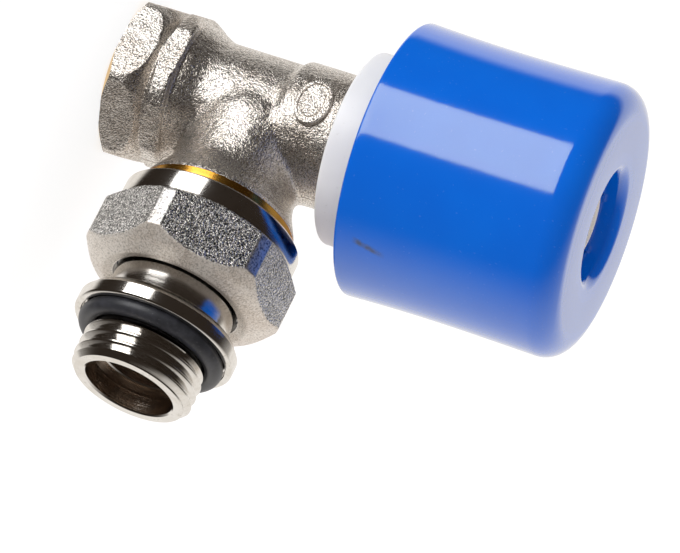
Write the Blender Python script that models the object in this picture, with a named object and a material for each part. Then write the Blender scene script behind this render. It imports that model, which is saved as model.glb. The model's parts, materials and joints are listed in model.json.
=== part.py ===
"""Angled radiator valve with a screw-down handwheel and a union tailpiece.

The spindle stands along +Z and the outlet runs along +X, as the valve is fitted under a radiator's end.
The origin is the centre of the inlet's end face. Everything is in metres.
The handwheel stands fully open, and the union nut is tight.
"""

import math

import bmesh
import bpy
from mathutils import Matrix, Vector

MM = 0.001
GAP = 0.3 * MM
OVERRUN = 2.0 * MM
MERGE = 0.001 * MM

# Facets round a turn, for large and small turned pieces
FINE_TURN = 32
PLAIN_TURN = 24
SMALL_TURN = 16

# Lay-out: the outlet's axis above the inlet face, and the tail's end from the spindle's axis
OUTLET_HEIGHT = 23.3 * MM
TAIL_REACH = 52.1 * MM

# Inlet boss: a hexagon with its rear corners rounded off, then a groove and a band
INLET_ACROSS_FLATS = 25.0 * MM
INLET_CORNER_RADIUS = 14.1 * MM
INLET_HEX_LENGTH = 6.9 * MM
INLET_HEX_ROUND = 4.2 * MM
INLET_END_CHAMFER = 1.0 * MM
INLET_CHAMFER_RUN_SHARE = 1.4
INLET_GROOVE_RADIUS = 11.7 * MM
BAND_ACROSS_FLATS = 25.4 * MM
BAND_CORNER_RADIUS = 13.4 * MM
BAND_LENGTH = 3.4 * MM
BAND_EDGE = 0.4 * MM
INLET_THREAD_RADIUS = 9.75 * MM
INLET_THREAD_DEPTH = 11.5 * MM
INLET_MOUTH_CHAMFER = 1.0 * MM

# Barrel and bonnet neck of the body
BARREL_RADIUS = 10.2 * MM
BARREL_SHOULDER = 4.6 * MM
NECK_RADIUS = 11.4 * MM
NECK_FOOT = 28.6 * MM
NECK_FOOT_RISE = 1.6 * MM
NECK_TOP = 42.5 * MM
NECK_THREAD_FOOT = 37.5 * MM
NECK_THREAD_RADIUS = 11.0 * MM

# The raised oval on the neck, left bare
PAD_BEARING = math.radians(-87.0)
PAD_HEIGHT = 33.3 * MM
PAD_LENGTH = 5.9 * MM
PAD_WIDTH = 7.9 * MM
PAD_PROUD = 0.45 * MM

# Waterways
SEAT_PORT_RADIUS = 6.2 * MM
SEAT_LIP_RADIUS = 7.0 * MM
SEAT_LIP_RISE = 1.0 * MM
SEAT_FLOOR = 15.2 * MM
CHAMBER_RADIUS = 8.5 * MM
BONNET_BORE_RADIUS = 9.3 * MM
BONNET_BORE_FOOT = 35.4 * MM

# Outlet branch and its male thread
BRANCH_RADIUS = 10.6 * MM
BRANCH_ROOT_RADIUS = 11.9 * MM
BRANCH_ROOT_LENGTH = 4.5 * MM
BRANCH_FLARE_START = 13.4 * MM
BRANCH_SHOULDER_RADIUS = 13.2 * MM
BRANCH_SHOULDER_AT = 18.0 * MM
BRANCH_SHOULDER_LAND = 0.6 * MM
UNION_THREAD_RADIUS = 13.0 * MM
UNION_THREAD_END = 28.4 * MM
UNION_THREAD_CHAMFER = 0.9 * MM
UNION_THREAD_PITCH = 1.814 * MM

# Union nut
NUT_ACROSS_FLATS = 30.0 * MM
NUT_CORNER_RADIUS = 16.7 * MM
NUT_BACK = 21.3 * MM
NUT_LENGTH = 14.8 * MM
NUT_COLLAR_RADIUS = 15.2 * MM
NUT_COLLAR_LENGTH = 3.2 * MM
NUT_BACK_CHAMFER = 0.6 * MM
NUT_SHOULDER_RISE_SHARE = 0.58
NUT_HOLE_RADIUS = 10.7 * MM
NUT_FRONT_WALL = 3.0 * MM
NUT_FACE_RADIUS = 13.2 * MM
NUT_FACE_DROP = 1.6 * MM
NUT_HOLE_SINK = 0.8 * MM
NUT_TURN = math.radians(9.0)

# Tailpiece
SHANK_RADIUS = 10.2 * MM
FLANGE_RADIUS = 13.4 * MM
FLANGE_BACK_RADIUS = 12.4 * MM
FLANGE_BACK_AT = 40.0 * MM
FLANGE_LENGTH = 3.1 * MM
FLANGE_TAPER = 1.3 * MM
FLANGE_RECESS_RADIUS = 12.2 * MM
FLANGE_RECESS_DEPTH = 0.9 * MM
TAIL_THREAD_RADIUS = 10.1 * MM
TAIL_THREAD_ROOT = 9.1 * MM
TAIL_RELIEF_LENGTH = 3.2 * MM
TAIL_END_CHAMFER = 1.0 * MM
TAIL_MOUTH_RADIUS = 7.4 * MM
TAIL_MOUTH_DEPTH = 4.3 * MM
TAIL_BORE_RADIUS = 6.6 * MM
SEAL_THICKNESS = 1.2 * MM
SEAL_BORE_RADIUS = 8.0 * MM
RING_THICKNESS = 1.3 * MM
RING_RADIUS = 11.6 * MM
RING_GROOVE_DEPTH = 0.7 * MM
RING_SPLIT = 3.0 * MM
TAIL_RING_SECTION = 1.45 * MM

# White guide collar between the neck and the handwheel
COLLAR_RADIUS = 15.9 * MM
COLLAR_FOOT = 38.9 * MM
COLLAR_TOP = 62.0 * MM
COLLAR_FOOT_ROUND = 0.6 * MM
COLLAR_SHOULDER_RISE = 2.6 * MM
COLLAR_TUBE_RADIUS = 11.4 * MM
COLLAR_TUBE_FOOT = 48.5 * MM
COLLAR_ROOF_THICKNESS = 4.0 * MM
BUSH_RADIUS = 7.6 * MM
BUSH_FLANGE_RADIUS = 9.2 * MM
BUSH_FLANGE_THICKNESS = 1.6 * MM
BUSH_LENGTH = 9.0 * MM

# Bonnet screwed into the neck, and the gland above it
BONNET_THREAD_RADIUS = 9.0 * MM
BONNET_FOOT = 29.4 * MM
BONNET_LIP_RADIUS = 4.6 * MM
BONNET_LIP_THICKNESS = 0.6 * MM
BONNET_FLANGE_RADIUS = 10.8 * MM
BONNET_FLANGE_THICKNESS = 1.8 * MM
BONNET_HEX_ACROSS_FLATS = 17.0 * MM
BONNET_HEX_LENGTH = 4.2 * MM
BONNET_RING_SECTION = 0.8 * MM
BONNET_RING_AT = 33.0 * MM
SPRING_POCKET_RADIUS = 5.6 * MM
SPRING_POCKET_TOP = 41.4 * MM
GUIDE_FLOOR_THICKNESS = 1.8 * MM
GLAND_POCKET_RADIUS = 4.4 * MM
GLAND_RADIUS = 6.6 * MM
GLAND_ACROSS_FLATS = 12.2 * MM
GLAND_LENGTH = 3.0 * MM
GLAND_SPIGOT_LENGTH = 3.4 * MM

# Pin, disc and spring
PIN_RADIUS = 1.9 * MM
PIN_TOP_CHAMFER = 0.5 * MM
SPRING_CUP_RADIUS = 5.0 * MM
SPRING_CUP_AT = 38.6 * MM
SPRING_CUP_THICKNESS = 1.0 * MM
PIN_CLIP_RADIUS = 3.4 * MM
PIN_CLIP_THICKNESS = 0.7 * MM
PIN_GROOVE_RADIUS = 1.4 * MM
SPRING_PLATE_THICKNESS = 0.7 * MM
SPRING_WIRE_RADIUS = 0.4 * MM
SPRING_COIL_RADIUS = 4.3 * MM
SPRING_TURNS = 4.5
TRAVEL = 3.0 * MM
DISC_RADIUS = 7.4 * MM
DISC_THICKNESS = 2.2 * MM
CARRIER_RADIUS = 7.9 * MM
CARRIER_ROOF_THICKNESS = 1.2 * MM
CARRIER_HUB_RADIUS = 3.4 * MM
CARRIER_HUB_LENGTH = 2.2 * MM
WASHER_RADIUS = 4.4 * MM
WASHER_THICKNESS = 0.8 * MM
DISC_NUT_ACROSS_FLATS = 5.5 * MM
DISC_NUT_LENGTH = 1.4 * MM
DISC_NUT_SHANK_RADIUS = 1.5 * MM

# Handwheel
KNOB_FOOT = 45.1 * MM
KNOB_TOP = 81.5 * MM
KNOB_RIM_RADIUS = 22.5 * MM
KNOB_WAIST_RADIUS = 22.1 * MM
KNOB_SHOULDER_RADIUS = 22.3 * MM
KNOB_RIM_ROUND = 0.5 * MM
KNOB_END_ROUND = 4.2 * MM
KNOB_WALL = 1.9 * MM
KNOB_ROOF_THICKNESS = 2.4 * MM
RECESS_RADIUS = 8.7 * MM
RECESS_LIP_ROUND = 1.7 * MM
RECESS_DEPTH = 5.0 * MM
RECESS_FLOOR_RADIUS = 7.6 * MM
HUB_RADIUS = 9.6 * MM
KNOB_RIBS = 6
RIB_THICKNESS = 1.4 * MM
RIB_RISE = 1.0 * MM
INSERT_HEAD_RADIUS = 5.8 * MM
INSERT_HEAD_SEAT = 2.4 * MM
INSERT_HEAD_PROUD = 2.0 * MM
INSERT_BODY_RADIUS = 6.6 * MM
INSERT_SCREW_RADIUS = 4.8 * MM
INSERT_DISH_RADIUS = 5.1 * MM
INSERT_DISH_DEPTH = 0.7 * MM
INSERT_KEY_ACROSS_FLATS = 5.0 * MM
INSERT_KEY_DEPTH = 2.4 * MM
INSERT_CLIP_RADIUS = 7.6 * MM
INSERT_CLIP_THICKNESS = 1.0 * MM

# Heights worked out from the sizes above, from the gland up to the handwheel's hub
BONNET_HEX_TOP = NECK_TOP + GAP + BONNET_FLANGE_THICKNESS + BONNET_HEX_LENGTH
GLAND_FOOT = BONNET_HEX_TOP + GAP
GLAND_TOP = GLAND_FOOT + GLAND_LENGTH
INSERT_FOOT = GLAND_TOP + TRAVEL + 3 * GAP
PIN_TOP = INSERT_FOOT - GAP
HUB_FOOT = COLLAR_TOP + TRAVEL + INSERT_CLIP_THICKNESS + 2 * GAP
PIN_HOLE_RADIUS = PIN_RADIUS + GAP
BONNET_RING_RADIUS = CHAMBER_RADIUS - GAP - BONNET_RING_SECTION

UP = Vector((0, 0, 1))
OUTWARD = Vector((1, 0, 0))
OUTLET_CENTRE = Vector((0, 0, OUTLET_HEIGHT))

FINISHES = {
    "nickel_cast": ((0.55, 0.52, 0.48), 0.42, 1.0),
    "nickel_turned": ((0.72, 0.70, 0.66), 0.18, 1.0),
    "brass": ((0.80, 0.58, 0.22), 0.28, 1.0),
    "steel": ((0.60, 0.60, 0.62), 0.30, 1.0),
    "black_rubber": ((0.03, 0.03, 0.035), 0.60, 0.0),
    "white_fibre": ((0.78, 0.76, 0.70), 0.80, 0.0),
    "white_plastic": ((0.80, 0.80, 0.82), 0.35, 0.0),
    "blue_plastic": ((0.0, 0.12, 0.68), 0.18, 0.0),
}


def clear_scene():
    """Removes what the file held before."""
    for old in list(bpy.data.objects):
        bpy.data.objects.remove(old, do_unlink=True)


def finish(name):
    """Returns the named finish as a material."""
    colour, roughness, metallic = FINISHES[name]
    material = bpy.data.materials.get(name) or bpy.data.materials.new(name)
    material.use_nodes = True
    shader = material.node_tree.nodes["Principled BSDF"]
    shader.inputs["Base Color"].default_value = (*colour, 1.0)
    shader.inputs["Roughness"].default_value = roughness
    shader.inputs["Metallic"].default_value = metallic
    material.diffuse_color = (*colour, 1.0)
    return material


def make_parent(name, place):
    """Adds an empty on a joint's axis, for the pieces that move together."""
    empty = bpy.data.objects.new(name, None)
    empty.location = place
    bpy.context.collection.objects.link(empty)
    return empty


def add_object(name, mesh_data, material=None, parent=None, centre=None):
    """Links a bmesh as an object whose origin is at centre, and returns the object."""
    bmesh.ops.remove_doubles(mesh_data, verts=mesh_data.verts, dist=MERGE)
    bmesh.ops.dissolve_degenerate(mesh_data, edges=mesh_data.edges, dist=MERGE)
    bmesh.ops.recalc_face_normals(mesh_data, faces=mesh_data.faces)
    home = Vector((0, 0, 0)) if centre is None else Vector(centre)
    bmesh.ops.translate(mesh_data, verts=mesh_data.verts, vec=-home)
    mesh = bpy.data.meshes.new(name)
    mesh_data.to_mesh(mesh)
    mesh_data.free()
    mesh.shade_smooth()
    mesh.set_sharp_from_angle(angle=math.radians(28))
    if material:
        mesh.materials.append(finish(material))
    obj = bpy.data.objects.new(name, mesh)
    bpy.context.collection.objects.link(obj)
    obj.location = home
    if parent:
        obj.parent = parent
        obj.location = home - parent.location
    return obj


def arc(radius_at, station_at, size, start, end, steps=5):
    """Returns the (radius, station) points of an arc about (radius_at, station_at), angles in degrees."""
    turns = [math.radians(start + (end - start) * step / steps) for step in range(steps + 1)]
    return [(radius_at + size * math.cos(turn), station_at + size * math.sin(turn)) for turn in turns]


def frame_of(axis):
    """Returns the turn that takes the +Z axis to the given axis, with +X turned to a sideways axis."""
    if axis == UP:
        return Matrix.Identity(3)
    return Matrix(((0, 0, 1), (1, 0, 0), (0, 1, 0)))


def turned_mesh(outline, axis=UP, base=None, steps=PLAIN_TURN):
    """Turns a closed outline of (radius, station) points about an axis through base."""
    turn = frame_of(axis)
    start = Vector((0, 0, 0)) if base is None else Vector(base)
    mesh = bmesh.new()
    ring = [mesh.verts.new(start + turn @ Vector((radius, 0, station))) for radius, station in outline]
    edges = [mesh.edges.new((one, two)) for one, two in zip(ring, ring[1:] + ring[:1])]
    bmesh.ops.spin(mesh, geom=ring + edges, cent=start, axis=turn @ UP, angle=math.tau, steps=steps,
                   use_merge=True)
    loose = [edge for edge in mesh.edges if not edge.link_faces]
    bmesh.ops.delete(mesh, geom=loose, context="EDGES")
    bmesh.ops.remove_doubles(mesh, verts=mesh.verts, dist=MERGE)
    bmesh.ops.dissolve_degenerate(mesh, edges=mesh.edges, dist=MERGE)
    return mesh


def turned(name, outline, material=None, axis=UP, base=None, steps=PLAIN_TURN, parent=None):
    """Adds a piece turned about an axis."""
    return add_object(name, turned_mesh(outline, axis, base, steps), material, parent, base)


def prism(name, corners, axis, low, high, base=None):
    """Adds a cutter or blank: a polygon of (x, y) corners extruded along an axis from low to high."""
    turn = frame_of(axis)
    start = Vector((0, 0, 0)) if base is None else Vector(base)
    mesh = bmesh.new()
    floor = mesh.faces.new([mesh.verts.new(start + turn @ Vector((x, y, low))) for x, y in corners])
    grown = bmesh.ops.extrude_face_region(mesh, geom=[floor])["geom"]
    moved = [item for item in grown if isinstance(item, bmesh.types.BMVert)]
    bmesh.ops.translate(mesh, verts=moved, vec=turn @ Vector((0, 0, high - low)))
    return add_object(name, mesh)


def polygon(across_flats, turn=0.0, sides=6):
    """Returns the corners of a regular polygon from its size across the flats."""
    radius = across_flats / 2 / math.cos(math.pi / sides)
    angles = [turn + math.tau * side / sides for side in range(sides)]
    return [(radius * math.cos(angle), radius * math.sin(angle)) for angle in angles]


def rounded_hexagon(across_flats, corner_radius, turn=0.0, steps=3):
    """Returns a hexagon whose corners are rounded to lie inside corner_radius."""
    sharp = across_flats / 2 / math.cos(math.pi / 6)
    fillet = (sharp - corner_radius) / (sharp / (across_flats / 2) - 1)
    points = []
    for side in range(6):
        middle = turn + math.tau * side / 6
        reach = sharp - fillet * sharp / (across_flats / 2)
        for step in range(steps + 1):
            angle = middle + math.radians(-30 + 60 * step / steps)
            points.append((reach * math.cos(middle) + fillet * math.cos(angle),
                           reach * math.sin(middle) + fillet * math.sin(angle)))
    return points


def apply_boolean(target, tool, operation):
    """Joins, cuts or keeps what two solids share, and removes the tool."""
    modifier = target.modifiers.new(operation.lower(), "BOOLEAN")
    modifier.operation = operation
    modifier.object = tool
    bpy.context.view_layer.update()
    graph = bpy.context.evaluated_depsgraph_get()
    result = bpy.data.meshes.new_from_object(target.evaluated_get(graph))
    target.modifiers.clear()
    old = target.data
    materials = [slot for slot in old.materials if slot]
    target.data = result
    result.materials.clear()
    for material in materials:
        result.materials.append(material)
    bpy.data.meshes.remove(old)
    bpy.data.objects.remove(tool, do_unlink=True)
    mesh = bmesh.new()
    mesh.from_mesh(result)
    bmesh.ops.remove_doubles(mesh, verts=mesh.verts, dist=MERGE)
    bmesh.ops.dissolve_degenerate(mesh, edges=mesh.edges, dist=MERGE)
    mesh.to_mesh(result)
    mesh.free()
    return target


def cut(target, tool):
    """Takes the tool's shape out of the target."""
    return apply_boolean(target, tool, "DIFFERENCE")


def join(target, tool):
    """Adds the tool's shape to the target."""
    return apply_boolean(target, tool, "UNION")


def keep_inside(target, tool):
    """Keeps only what lies inside the tool."""
    return apply_boolean(target, tool, "INTERSECT")


def tidy(obj, material):
    """Gives a cut piece its finish, merges its flat faces and shades it."""
    mesh = bmesh.new()
    mesh.from_mesh(obj.data)
    bmesh.ops.dissolve_limit(mesh, angle_limit=math.radians(0.5), verts=mesh.verts, edges=mesh.edges)
    bmesh.ops.recalc_face_normals(mesh, faces=mesh.faces)
    mesh.to_mesh(obj.data)
    mesh.free()
    obj.data.materials.clear()
    obj.data.materials.append(finish(material))
    obj.data.shade_smooth()
    obj.data.set_sharp_from_angle(angle=math.radians(28))
    return obj


def washer_outline(inner, outer, foot, top):
    """Returns the outline of a plain ring."""
    return [(inner, foot), (outer, foot), (outer, top), (inner, top)]


def ring_outline(centre_radius, station, section, steps=8):
    """Returns the outline of a round-section ring, such as a rubber O-ring."""
    return arc(centre_radius, station, section, 0, 360 - 360 / steps, steps - 1)


def inlet_boss():
    """Forged hexagon at the inlet: flats with arched ends, under a turned envelope."""
    blank = prism("inlet_boss", polygon(INLET_ACROSS_FLATS), UP, -OVERRUN, INLET_HEX_LENGTH + OVERRUN)
    half_flats = INLET_ACROSS_FLATS / 2
    chamfer_foot = INLET_CORNER_RADIUS - INLET_END_CHAMFER * INLET_CHAMFER_RUN_SHARE
    round_centre = INLET_CORNER_RADIUS - INLET_HEX_ROUND
    round_at = INLET_HEX_LENGTH - INLET_HEX_ROUND
    envelope = [(0, 0), (chamfer_foot, 0), (INLET_CORNER_RADIUS, INLET_END_CHAMFER)]
    envelope += arc(round_centre, round_at, INLET_HEX_ROUND, 8, 64, 5)
    envelope += [(INLET_GROOVE_RADIUS, INLET_HEX_LENGTH), (half_flats / 2, INLET_HEX_LENGTH + GAP),
                 (0, INLET_HEX_LENGTH + GAP)]
    return keep_inside(blank, turned("inlet_envelope", envelope, steps=FINE_TURN))


def inlet_band():
    """Band behind the hexagon, with soft corners and a sharp rear edge."""
    foot = INLET_HEX_LENGTH + GAP
    corners = rounded_hexagon(BAND_ACROSS_FLATS, BAND_CORNER_RADIUS)
    blank = prism("inlet_band", corners, UP, foot - OVERRUN, foot + BAND_LENGTH + OVERRUN)
    outer = BAND_CORNER_RADIUS
    envelope = [(0, foot), (outer - BAND_EDGE, foot), (outer, foot + BAND_EDGE),
                (outer, foot + BAND_LENGTH), (0, foot + BAND_LENGTH)]
    return keep_inside(blank, turned("band_envelope", envelope, steps=FINE_TURN))


def barrel_and_neck():
    """Turned middle of the body: the groove, the barrel and the neck that takes the bonnet."""
    band_top = INLET_HEX_LENGTH + GAP + BAND_LENGTH
    foot = INLET_HEX_LENGTH / 2
    outline = [(0, foot), (INLET_GROOVE_RADIUS, foot), (INLET_GROOVE_RADIUS, band_top + BAND_EDGE)]
    sink = INLET_GROOVE_RADIUS - BARREL_RADIUS
    for step in range(1, 6):
        share = step / 5
        fall = sink * (1 - math.cos(math.pi * share)) / 2
        outline.append((INLET_GROOVE_RADIUS - fall, band_top + BAND_EDGE + BARREL_SHOULDER * share))
    outline.append((BARREL_RADIUS, NECK_FOOT - NECK_FOOT_RISE))
    rise = NECK_RADIUS - BARREL_RADIUS
    for step in range(1, 4):
        share = step / 3
        lift = rise * (1 - math.cos(math.pi * share)) / 2
        outline.append((BARREL_RADIUS + lift, NECK_FOOT - NECK_FOOT_RISE * (1 - share)))
    outline += [(NECK_RADIUS, NECK_THREAD_FOOT), (NECK_THREAD_RADIUS, NECK_THREAD_FOOT + GAP),
                (NECK_THREAD_RADIUS, NECK_TOP), (0, NECK_TOP)]
    return turned("valve_body", outline, steps=FINE_TURN)


def outlet_branch():
    """Outlet branch, wide at its root, waisted, then flared to the union's male thread."""
    outline = [(0, 0), (BRANCH_ROOT_RADIUS - GAP, 0)]
    drop = BRANCH_ROOT_RADIUS - BRANCH_RADIUS
    root = BARREL_RADIUS / 2
    outline.append((BRANCH_ROOT_RADIUS, root))
    for step in range(1, 5):
        share = step / 4
        outline.append((BRANCH_ROOT_RADIUS - drop * math.sin(math.pi / 2 * share),
                        root + BRANCH_ROOT_LENGTH * share))
    flare = BRANCH_SHOULDER_RADIUS - BRANCH_RADIUS
    run = BRANCH_SHOULDER_AT - BRANCH_FLARE_START
    for step in range(5):
        share = step / 4
        outline.append((BRANCH_RADIUS + flare * (1 - math.cos(math.pi / 2 * share)),
                        BRANCH_FLARE_START + run * share))
    land = BRANCH_SHOULDER_AT + BRANCH_SHOULDER_LAND
    outline += [(BRANCH_SHOULDER_RADIUS, land), (UNION_THREAD_RADIUS, land + GAP),
                (UNION_THREAD_RADIUS, UNION_THREAD_END - UNION_THREAD_CHAMFER),
                (UNION_THREAD_RADIUS - UNION_THREAD_CHAMFER, UNION_THREAD_END), (0, UNION_THREAD_END)]
    return turned("outlet_branch", outline, axis=OUTWARD, base=OUTLET_CENTRE, steps=FINE_TURN)


def neck_pad():
    """Raised oval pad on the neck, on the side that faces the user."""
    bearing = Vector((math.cos(PAD_BEARING), math.sin(PAD_BEARING), 0))
    side = UP.cross(bearing)
    mesh = bmesh.new()
    rim = []
    for step in range(SMALL_TURN):
        angle = math.tau * step / SMALL_TURN
        place = (side * (PAD_WIDTH / 2 * math.cos(angle)) + UP * (PAD_LENGTH / 2 * math.sin(angle)))
        rim.append(mesh.verts.new(place + UP * PAD_HEIGHT + bearing * (NECK_RADIUS / 2)))
    floor = mesh.faces.new(rim)
    grown = bmesh.ops.extrude_face_region(mesh, geom=[floor])["geom"]
    moved = [item for item in grown if isinstance(item, bmesh.types.BMVert)]
    bmesh.ops.translate(mesh, verts=moved, vec=bearing * (NECK_RADIUS / 2 + PAD_PROUD))
    return add_object("neck_pad", mesh)


def make_valve_body():
    """Forged brass body: inlet boss, barrel, neck and outlet branch, with its waterways."""
    body = barrel_and_neck()
    for piece in (inlet_boss(), inlet_band(), outlet_branch(), neck_pad()):
        join(body, piece)
    mouth = INLET_THREAD_RADIUS + INLET_MOUTH_CHAMFER
    drill = SEAT_FLOOR - INLET_THREAD_RADIUS * math.tan(math.radians(12))
    lip = SEAT_FLOOR + SEAT_LIP_RISE
    upright = [(0, -OVERRUN), (mouth, -OVERRUN), (mouth, 0), (INLET_THREAD_RADIUS, INLET_MOUTH_CHAMFER),
               (INLET_THREAD_RADIUS, INLET_THREAD_DEPTH), (SEAT_PORT_RADIUS, drill),
               (SEAT_PORT_RADIUS, lip), (SEAT_LIP_RADIUS, lip), (SEAT_LIP_RADIUS, SEAT_FLOOR),
               (CHAMBER_RADIUS, SEAT_FLOOR), (CHAMBER_RADIUS, BONNET_BORE_FOOT),
               (BONNET_BORE_RADIUS, BONNET_BORE_FOOT + GAP), (BONNET_BORE_RADIUS, NECK_TOP + OVERRUN),
               (0, NECK_TOP + OVERRUN)]
    cut(body, turned("upright_bore", upright, steps=PLAIN_TURN))
    sideways = [(0, 0), (TAIL_MOUTH_RADIUS, 0), (TAIL_MOUTH_RADIUS, UNION_THREAD_END + OVERRUN),
                (0, UNION_THREAD_END + OVERRUN)]
    cut(body, turned("outlet_bore", sideways, axis=OUTWARD, base=OUTLET_CENTRE, steps=PLAIN_TURN))
    return tidy(body, "nickel_cast")


def make_bonnet():
    """Turned brass bonnet: threaded into the neck, with the spring pocket and the gland pocket."""
    flange_foot = NECK_TOP + GAP
    flange_top = flange_foot + BONNET_FLANGE_THICKNESS
    groove = BONNET_RING_RADIUS - BONNET_RING_SECTION - GAP
    groove_foot = BONNET_RING_AT - BONNET_RING_SECTION - GAP
    groove_top = BONNET_RING_AT + BONNET_RING_SECTION + GAP
    skirt = CHAMBER_RADIUS - GAP
    guide = SPRING_POCKET_TOP + GUIDE_FLOOR_THICKNESS
    lip_top = BONNET_FOOT + BONNET_LIP_THICKNESS
    corner = BONNET_HEX_ACROSS_FLATS / 2 / math.cos(math.pi / 6)
    outline = [(BONNET_LIP_RADIUS, BONNET_FOOT), (skirt - GAP, BONNET_FOOT), (skirt, BONNET_FOOT + GAP),
               (skirt, groove_foot), (groove, groove_foot), (groove, groove_top), (skirt, groove_top),
               (skirt, BONNET_BORE_FOOT + GAP), (BONNET_THREAD_RADIUS, BONNET_BORE_FOOT + 3 * GAP),
               (BONNET_THREAD_RADIUS, flange_foot), (BONNET_FLANGE_RADIUS, flange_foot),
               (BONNET_FLANGE_RADIUS, flange_top), (corner, flange_top), (corner, BONNET_HEX_TOP),
               (GLAND_POCKET_RADIUS, BONNET_HEX_TOP), (GLAND_POCKET_RADIUS, guide),
               (PIN_HOLE_RADIUS, guide), (PIN_HOLE_RADIUS, SPRING_POCKET_TOP),
               (SPRING_POCKET_RADIUS, SPRING_POCKET_TOP), (SPRING_POCKET_RADIUS, lip_top),
               (BONNET_LIP_RADIUS, lip_top)]
    bonnet = turned("bonnet", outline, steps=PLAIN_TURN)
    round_part = [(0, BONNET_FOOT - OVERRUN), (NECK_RADIUS, BONNET_FOOT - OVERRUN),
                  (NECK_RADIUS, flange_top), (0, flange_top)]
    hexagon = prism("hex_keep", polygon(BONNET_HEX_ACROSS_FLATS), UP, flange_top - OVERRUN,
                    BONNET_HEX_TOP + OVERRUN)
    keep_inside(bonnet, join(turned("flange_keep", round_part, steps=PLAIN_TURN), hexagon))
    return tidy(bonnet, "brass")


def make_bonnet_seals():
    """Rubber rings that seal the bonnet in the body and the pin in the bonnet."""
    turned("bonnet_o_ring", ring_outline(BONNET_RING_RADIUS, BONNET_RING_AT, BONNET_RING_SECTION),
           "black_rubber")
    section = (GLAND_POCKET_RADIUS - PIN_RADIUS) / 2 - GAP
    centre_radius = PIN_RADIUS + GAP + section
    station = SPRING_POCKET_TOP + GUIDE_FLOOR_THICKNESS + GAP + section
    turned("pin_o_ring", ring_outline(centre_radius, station, section), "black_rubber", steps=SMALL_TURN)


def make_gland_nut():
    """Brass gland nut that closes the pin's seal."""
    spigot = GLAND_FOOT - GLAND_SPIGOT_LENGTH
    outline = [(PIN_HOLE_RADIUS, spigot), (GLAND_POCKET_RADIUS - GAP, spigot),
               (GLAND_POCKET_RADIUS - GAP, GLAND_FOOT), (GLAND_RADIUS, GLAND_FOOT),
               (GLAND_RADIUS, GLAND_TOP), (PIN_HOLE_RADIUS, GLAND_TOP)]
    nut = turned("gland_nut", outline, steps=SMALL_TURN)
    keep = prism("gland_keep", polygon(GLAND_ACROSS_FLATS), UP,
                 spigot - OVERRUN, GLAND_TOP + OVERRUN)
    keep_inside(nut, keep)
    return tidy(nut, "brass")


def make_guide_collar():
    """White plastic collar: a cup on the neck's thread, with a narrower tube up inside the handwheel."""
    cavity = max(BONNET_FLANGE_RADIUS, NECK_THREAD_RADIUS) + GAP
    cavity_top = BONNET_HEX_TOP + 2 * GAP
    roof_foot = COLLAR_TOP - COLLAR_ROOF_THICKNESS
    bush_floor = COLLAR_TOP - BUSH_FLANGE_THICKNESS
    tube_inner = BUSH_RADIUS + 2 * GAP
    round_in = COLLAR_RADIUS - COLLAR_FOOT_ROUND
    outline = [(cavity, COLLAR_FOOT)]
    outline += arc(round_in, COLLAR_FOOT + COLLAR_FOOT_ROUND, COLLAR_FOOT_ROUND, -90, 0, 3)
    outline += [(COLLAR_RADIUS, COLLAR_TUBE_FOOT),
                (COLLAR_TUBE_RADIUS, COLLAR_TUBE_FOOT + COLLAR_SHOULDER_RISE),
                (COLLAR_TUBE_RADIUS, COLLAR_TOP), (BUSH_FLANGE_RADIUS + GAP, COLLAR_TOP),
                (BUSH_FLANGE_RADIUS + GAP, bush_floor), (BUSH_RADIUS + GAP, bush_floor),
                (BUSH_RADIUS + GAP, roof_foot), (tube_inner, roof_foot - GAP),
                (tube_inner, cavity_top + 2 * GAP), (cavity, cavity_top)]
    return turned("guide_collar", outline, "white_plastic", steps=FINE_TURN)


def make_collar_bush():
    """Brass bush in the collar's roof, whose thread carries the handwheel's screw."""
    flange_foot = COLLAR_TOP - BUSH_FLANGE_THICKNESS + GAP
    foot = COLLAR_TOP - BUSH_LENGTH
    bore = INSERT_SCREW_RADIUS + GAP
    outline = [(bore, foot), (BUSH_RADIUS, foot), (BUSH_RADIUS, flange_foot),
               (BUSH_FLANGE_RADIUS, flange_foot), (BUSH_FLANGE_RADIUS, COLLAR_TOP), (bore, COLLAR_TOP)]
    return turned("collar_bush", outline, "brass")


def disc_foot():
    """Returns the height of the rubber disc's lower face when the valve is open."""
    return SEAT_FLOOR + SEAT_LIP_RISE + TRAVEL + GAP


def make_pin(group, foot, shoulder):
    """Steel pin, thinner below its shoulder where it carries the disc, with a groove for a clip."""
    shank = DISC_NUT_SHANK_RADIUS
    clip_foot = SPRING_CUP_AT + SPRING_CUP_THICKNESS
    clip_top = clip_foot + PIN_CLIP_THICKNESS + 2 * GAP
    outline = [(0, foot), (shank, foot), (shank, shoulder), (PIN_RADIUS, shoulder), (PIN_RADIUS, clip_foot),
               (PIN_GROOVE_RADIUS, clip_foot), (PIN_GROOVE_RADIUS, clip_top), (PIN_RADIUS, clip_top),
               (PIN_RADIUS, PIN_TOP - PIN_TOP_CHAMFER), (PIN_RADIUS - PIN_TOP_CHAMFER, PIN_TOP),
               (0, PIN_TOP)]
    turned("valve_pin", outline, "steel", steps=SMALL_TURN, parent=group)
    cup = washer_outline(PIN_HOLE_RADIUS, SPRING_CUP_RADIUS, SPRING_CUP_AT, clip_foot)
    turned("spring_cup", cup, "steel", steps=SMALL_TURN, parent=group)
    clip = washer_outline(PIN_GROOVE_RADIUS + GAP, PIN_CLIP_RADIUS, clip_foot + GAP,
                          clip_foot + GAP + PIN_CLIP_THICKNESS)
    turned("pin_clip", clip, "steel", steps=SMALL_TURN, parent=group)


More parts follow.
